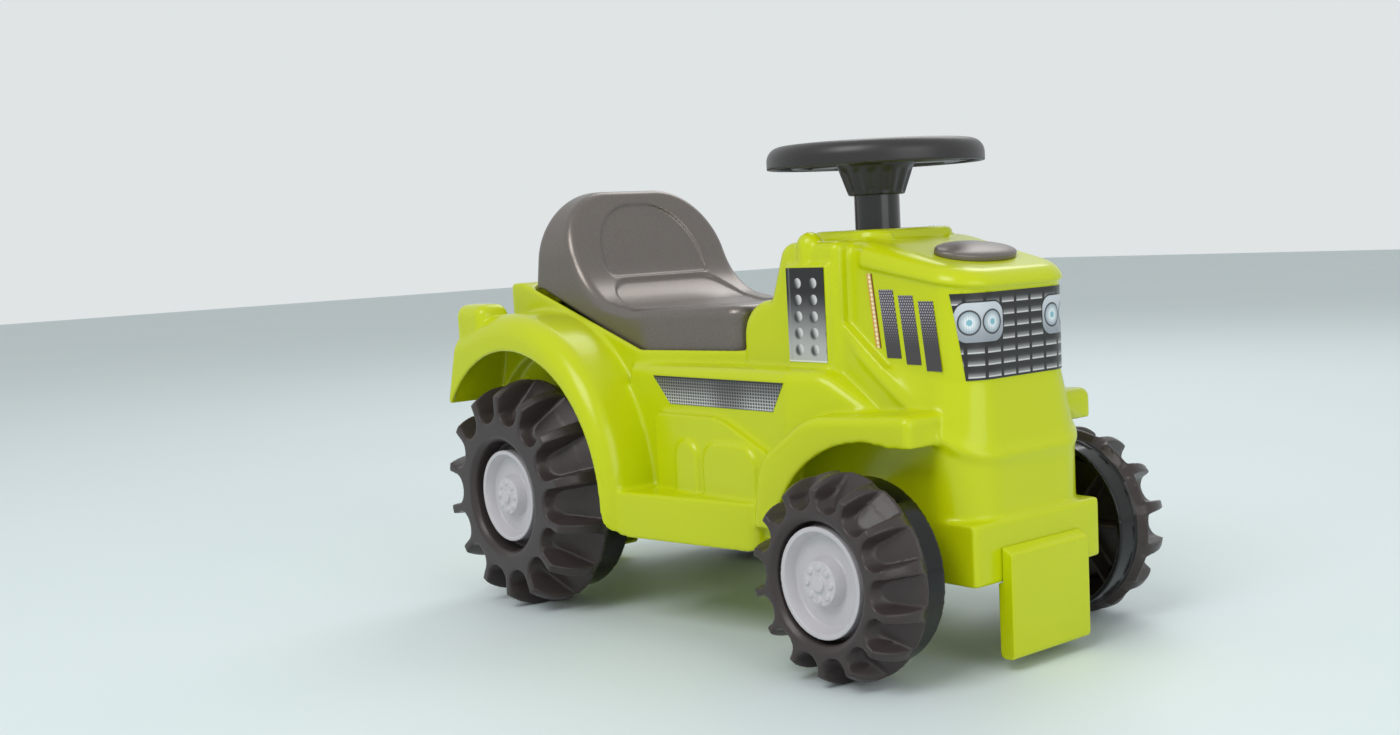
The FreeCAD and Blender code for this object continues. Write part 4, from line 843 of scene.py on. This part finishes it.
# Each row: the node, the piece that stands for it, the voxel, the rubs and the finish.
soft_pieces = [
    ("seat", "seat_moulding", 1.2 * MM, 5, seat_grey),
    ("steering_wheel", "steering_wheel_moulding", 0.9 * MM, 4, wheel_black),
    ("bonnet_cap", "bonnet_cap_moulding", 0.6 * MM, 4, cap_grey),
    ("front_stabiliser", "front_leg_moulding", 0.9 * MM, 4, lime),
    ("rear_stabiliser", "rear_leg_moulding", 1.0 * MM, 4, lime),
]
for node, name, voxel, rubs, material in soft_pieces:
    piece = melt(copy_of(node, name), voxel, rubs)
    if node == "steering_wheel":
        flute_hub(piece)
    stand_for(thin(piece, PIECE_TRIANGLES), node, material)

# %% [markdown]
# Seen along its edge a wheel's tread is a barrel: highest at its crown, and falling towards the outer face and
# towards the smooth ring on the inner side. The construction wheel has straight lugs instead. Each vertex keeps
# its depth below the tips of those lugs, and that depth is laid under the barrel's curve. The grooves between
# the lugs are all but filled, because the pockets of the next step take their place.

# %% Barrel tread
LUG_LEVEL = 16.0
LUG_STEP = 2.0
CROWN_SHARE = 0.56
SHOULDER_FALL = 0.12
BAND_FALL = 0.08
GROOVE_LEFT = 0.04
TREAD_FROM = (0.62, 0.86)
RING_EDGE = 0.6
lug_heights = {"rear": 7.5, "front": 6.0}


class WheelPlaces:
    """A right-hand wheel's vertices, measured in mm from its axle and from its inner edge."""

    def __init__(self, piece, end):
        low, high = (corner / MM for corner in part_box(end + "_right_wheel"))
        self.piece = piece
        self.middle = (low + high) / 2
        self.edge = high.y
        self.radius = (high.z - low.z) / 2
        self.width = high.y - low.y
        self.ring = self.radius - lug_heights[end]
        self.band = band_widths[end]
        self.crown = CROWN_SHARE * self.width
        places = read(piece, "co")
        x = places[:, 0] - self.middle.x
        z = places[:, 2] - self.middle.z
        self.outward = self.edge - places[:, 1]
        self.distance = numpy.hypot(x, z)
        self.turn = numpy.arctan2(x, z)

    def barrel(self):
        """How far the tread stands from the axle at each vertex: highest at the crown."""
        to_face = numpy.clip((self.outward - self.crown) / (self.width - self.crown), 0, 1)
        to_ring = numpy.clip((self.crown - self.outward) / (self.crown - self.band), 0, 1)
        return self.radius * (1 - SHOULDER_FALL * to_face ** 2 - BAND_FALL * to_ring ** 2)

    def settle(self):
        """Moves the piece's vertices to the places worked out."""
        x = self.middle.x + self.distance * numpy.sin(self.turn)
        z = self.middle.z + self.distance * numpy.cos(self.turn)
        put(self.piece, numpy.stack((x, self.edge - self.outward, z), axis=1))


def round_tread(wheel):
    """Lays the tread under a barrel curve and all but fills the grooves between the lugs."""
    run = numpy.clip((wheel.outward - wheel.band) / (wheel.width - LUG_LEVEL - wheel.band), 0, 1)
    tip = wheel.ring + LUG_STEP + (wheel.radius - wheel.ring - LUG_STEP) * run
    depth = tip - wheel.distance
    shallow = numpy.minimum(depth, tip - wheel.ring)
    laid = wheel.barrel() - shallow * GROOVE_LEFT - (depth - shallow)
    share = soft_step(wheel.distance, TREAD_FROM[0] * wheel.radius, TREAD_FROM[1] * wheel.radius)
    share *= soft_step(wheel.outward, wheel.band - RING_EDGE, wheel.band + RING_EDGE)
    wheel.distance += (laid - wheel.distance) * share


print("lugs of", lug_heights, "mm")

# %% [markdown]
# Between its ribs each tread has wide pockets. A pocket ends towards the hub in a round wall in the outer face,
# and its floor climbs from there over the shoulder and fades out past the crown, before the smooth ring. The
# wheel is a thin hollow moulding, so a pocket isn't cut: the skin is pressed in along the axle. The inner skin
# is pressed in over a slightly larger area, which keeps the wall's thickness on the steep sides. The right-hand
# wheel of each axle is made, and the left one is its mirror image.

# %% Pockets and pairs of wheels
LUGS = 14
POCKET_SHARE = 0.40
END_DEPTH = 7.5
FADE_SHARE = 0.54
WALL = 3.5
WALL_SLOPE = 2.0
LEVEL = 8.0
RING_MARGIN = 1.0
WHEEL_VOXELS = (1.0 * MM, 0.85 * MM)
TYRE_TRIANGLES = 170000
lip_shares = {"rear": 0.65, "front": 0.69}


def pocket_inside(wheel, lip):
    """How far each vertex lies inside the outline of its pocket: two sides and a round end at the lip."""
    pitch = 2 * math.pi / LUGS
    along = ((wheel.turn / pitch) % 1 - 0.5) * pitch * wheel.distance
    half_turn = POCKET_SHARE * pitch
    end_round = half_turn * lip / (1 - half_turn)
    centre = lip + end_round
    round_end = end_round - numpy.hypot(along, wheel.distance - centre)
    straight = half_turn * wheel.distance - abs(along)
    below = numpy.minimum(wheel.width - wheel.outward, wheel.barrel() - wheel.distance)
    return numpy.where(wheel.distance < centre, round_end, straight) + numpy.clip(below, 0, WALL)


def press_pockets(wheel, lip):
    """Presses the skin in along the axle, between a lip on the outer face and the tread."""
    inside = pocket_inside(wheel, lip)
    fall = numpy.clip((1 - wheel.distance / wheel.radius) / SHOULDER_FALL, 0, 1)
    shoulder = wheel.crown + (wheel.width - wheel.crown) * numpy.sqrt(fall)
    to_ring = wheel.outward < wheel.crown
    surface = numpy.where(to_ring, wheel.crown, shoulder)
    climb = numpy.where(to_ring, 1, numpy.clip((wheel.distance - lip) / (wheel.radius - lip), 0, 1))
    floor_line = wheel.width - END_DEPTH - (FADE_SHARE * wheel.width - END_DEPTH) * climb
    depth = numpy.maximum(surface - floor_line, 0)
    start = wheel.band + RING_MARGIN
    full = surface - numpy.where(to_ring, 0, LEVEL)
    share = numpy.clip((wheel.outward - start) / (full - start), 0, 1)
    wheel.outward -= depth * soft_step(inside, 0, WALL_SLOPE) * share


def mirrored(piece, name):
    """The same piece on the other side of the tractor, with its own mesh."""
    other = bpy.data.objects.new(name, piece.data.copy())
    bpy.context.collection.objects.link(other)
    other.data.transform(Matrix.Diagonal((1, -1, 1, 1)))
    take(other)
    bpy.ops.object.mode_set(mode="EDIT")
    bpy.ops.mesh.select_all(action="SELECT")
    bpy.ops.mesh.normals_make_consistent(inside=False)
    bpy.ops.object.mode_set(mode="OBJECT")
    return other


def wheel_pair(end):
    """Both wheels of one axle; the second melt evens out the skin that the pockets stretched."""
    right = melt(copy_of(end + "_right_wheel", end + "_right_tyre"), WHEEL_VOXELS[0], 1)
    wheel = WheelPlaces(right, end)
    round_tread(wheel)
    press_pockets(wheel, lip_shares[end] * wheel.radius)
    wheel.settle()
    melt(right, WHEEL_VOXELS[1], 2)
    for side, piece in (("left", mirrored(right, end + "_left_tyre")), ("right", right)):
        stand_for(thin(piece, TYRE_TRIANGLES), end + "_" + side + "_wheel", tyres[end])


for end in ("rear", "front"):
    wheel_pair(end)

# %% [markdown]
# The hub caps are light grey dishes with a boss, eight nuts and a nub. One is melted for each axle and
# mirrored to the other side. Their skin is fine, because the nuts are only a few millimetres across.

# %% Hub caps
HUB_VOXEL = 0.55 * MM
HUB_TRIANGLES = 60000

for end in ("rear", "front"):
    right = melt(copy_of(end + "_right_hub_cap", end + "_right_hub"), HUB_VOXEL, 2)
    for side, piece in (("left", mirrored(right, end + "_left_hub")), ("right", right)):
        stand_for(thin(piece, HUB_TRIANGLES), end + "_" + side + "_hub_cap", hub_grey)

# %% [markdown]
# What is left keeps its construction solid: the column, the axles with their sleeves and caps, the screws and
# the labels. They are turned or stamped pieces with true edges, so a finish is all that they need.

# %% Small pieces that keep their construction solids
by_slot = {"black_plastic": column_black, "sleeve_plastic": sleeve_black, "axle_steel": axle_steel}
for name, node in nodes.items():
    if not node.hide_render:
        film = films.get(name.split("_label")[0])
        dress(node, film or by_slot[slot_of[name]])
        print(name, slot_of[name])
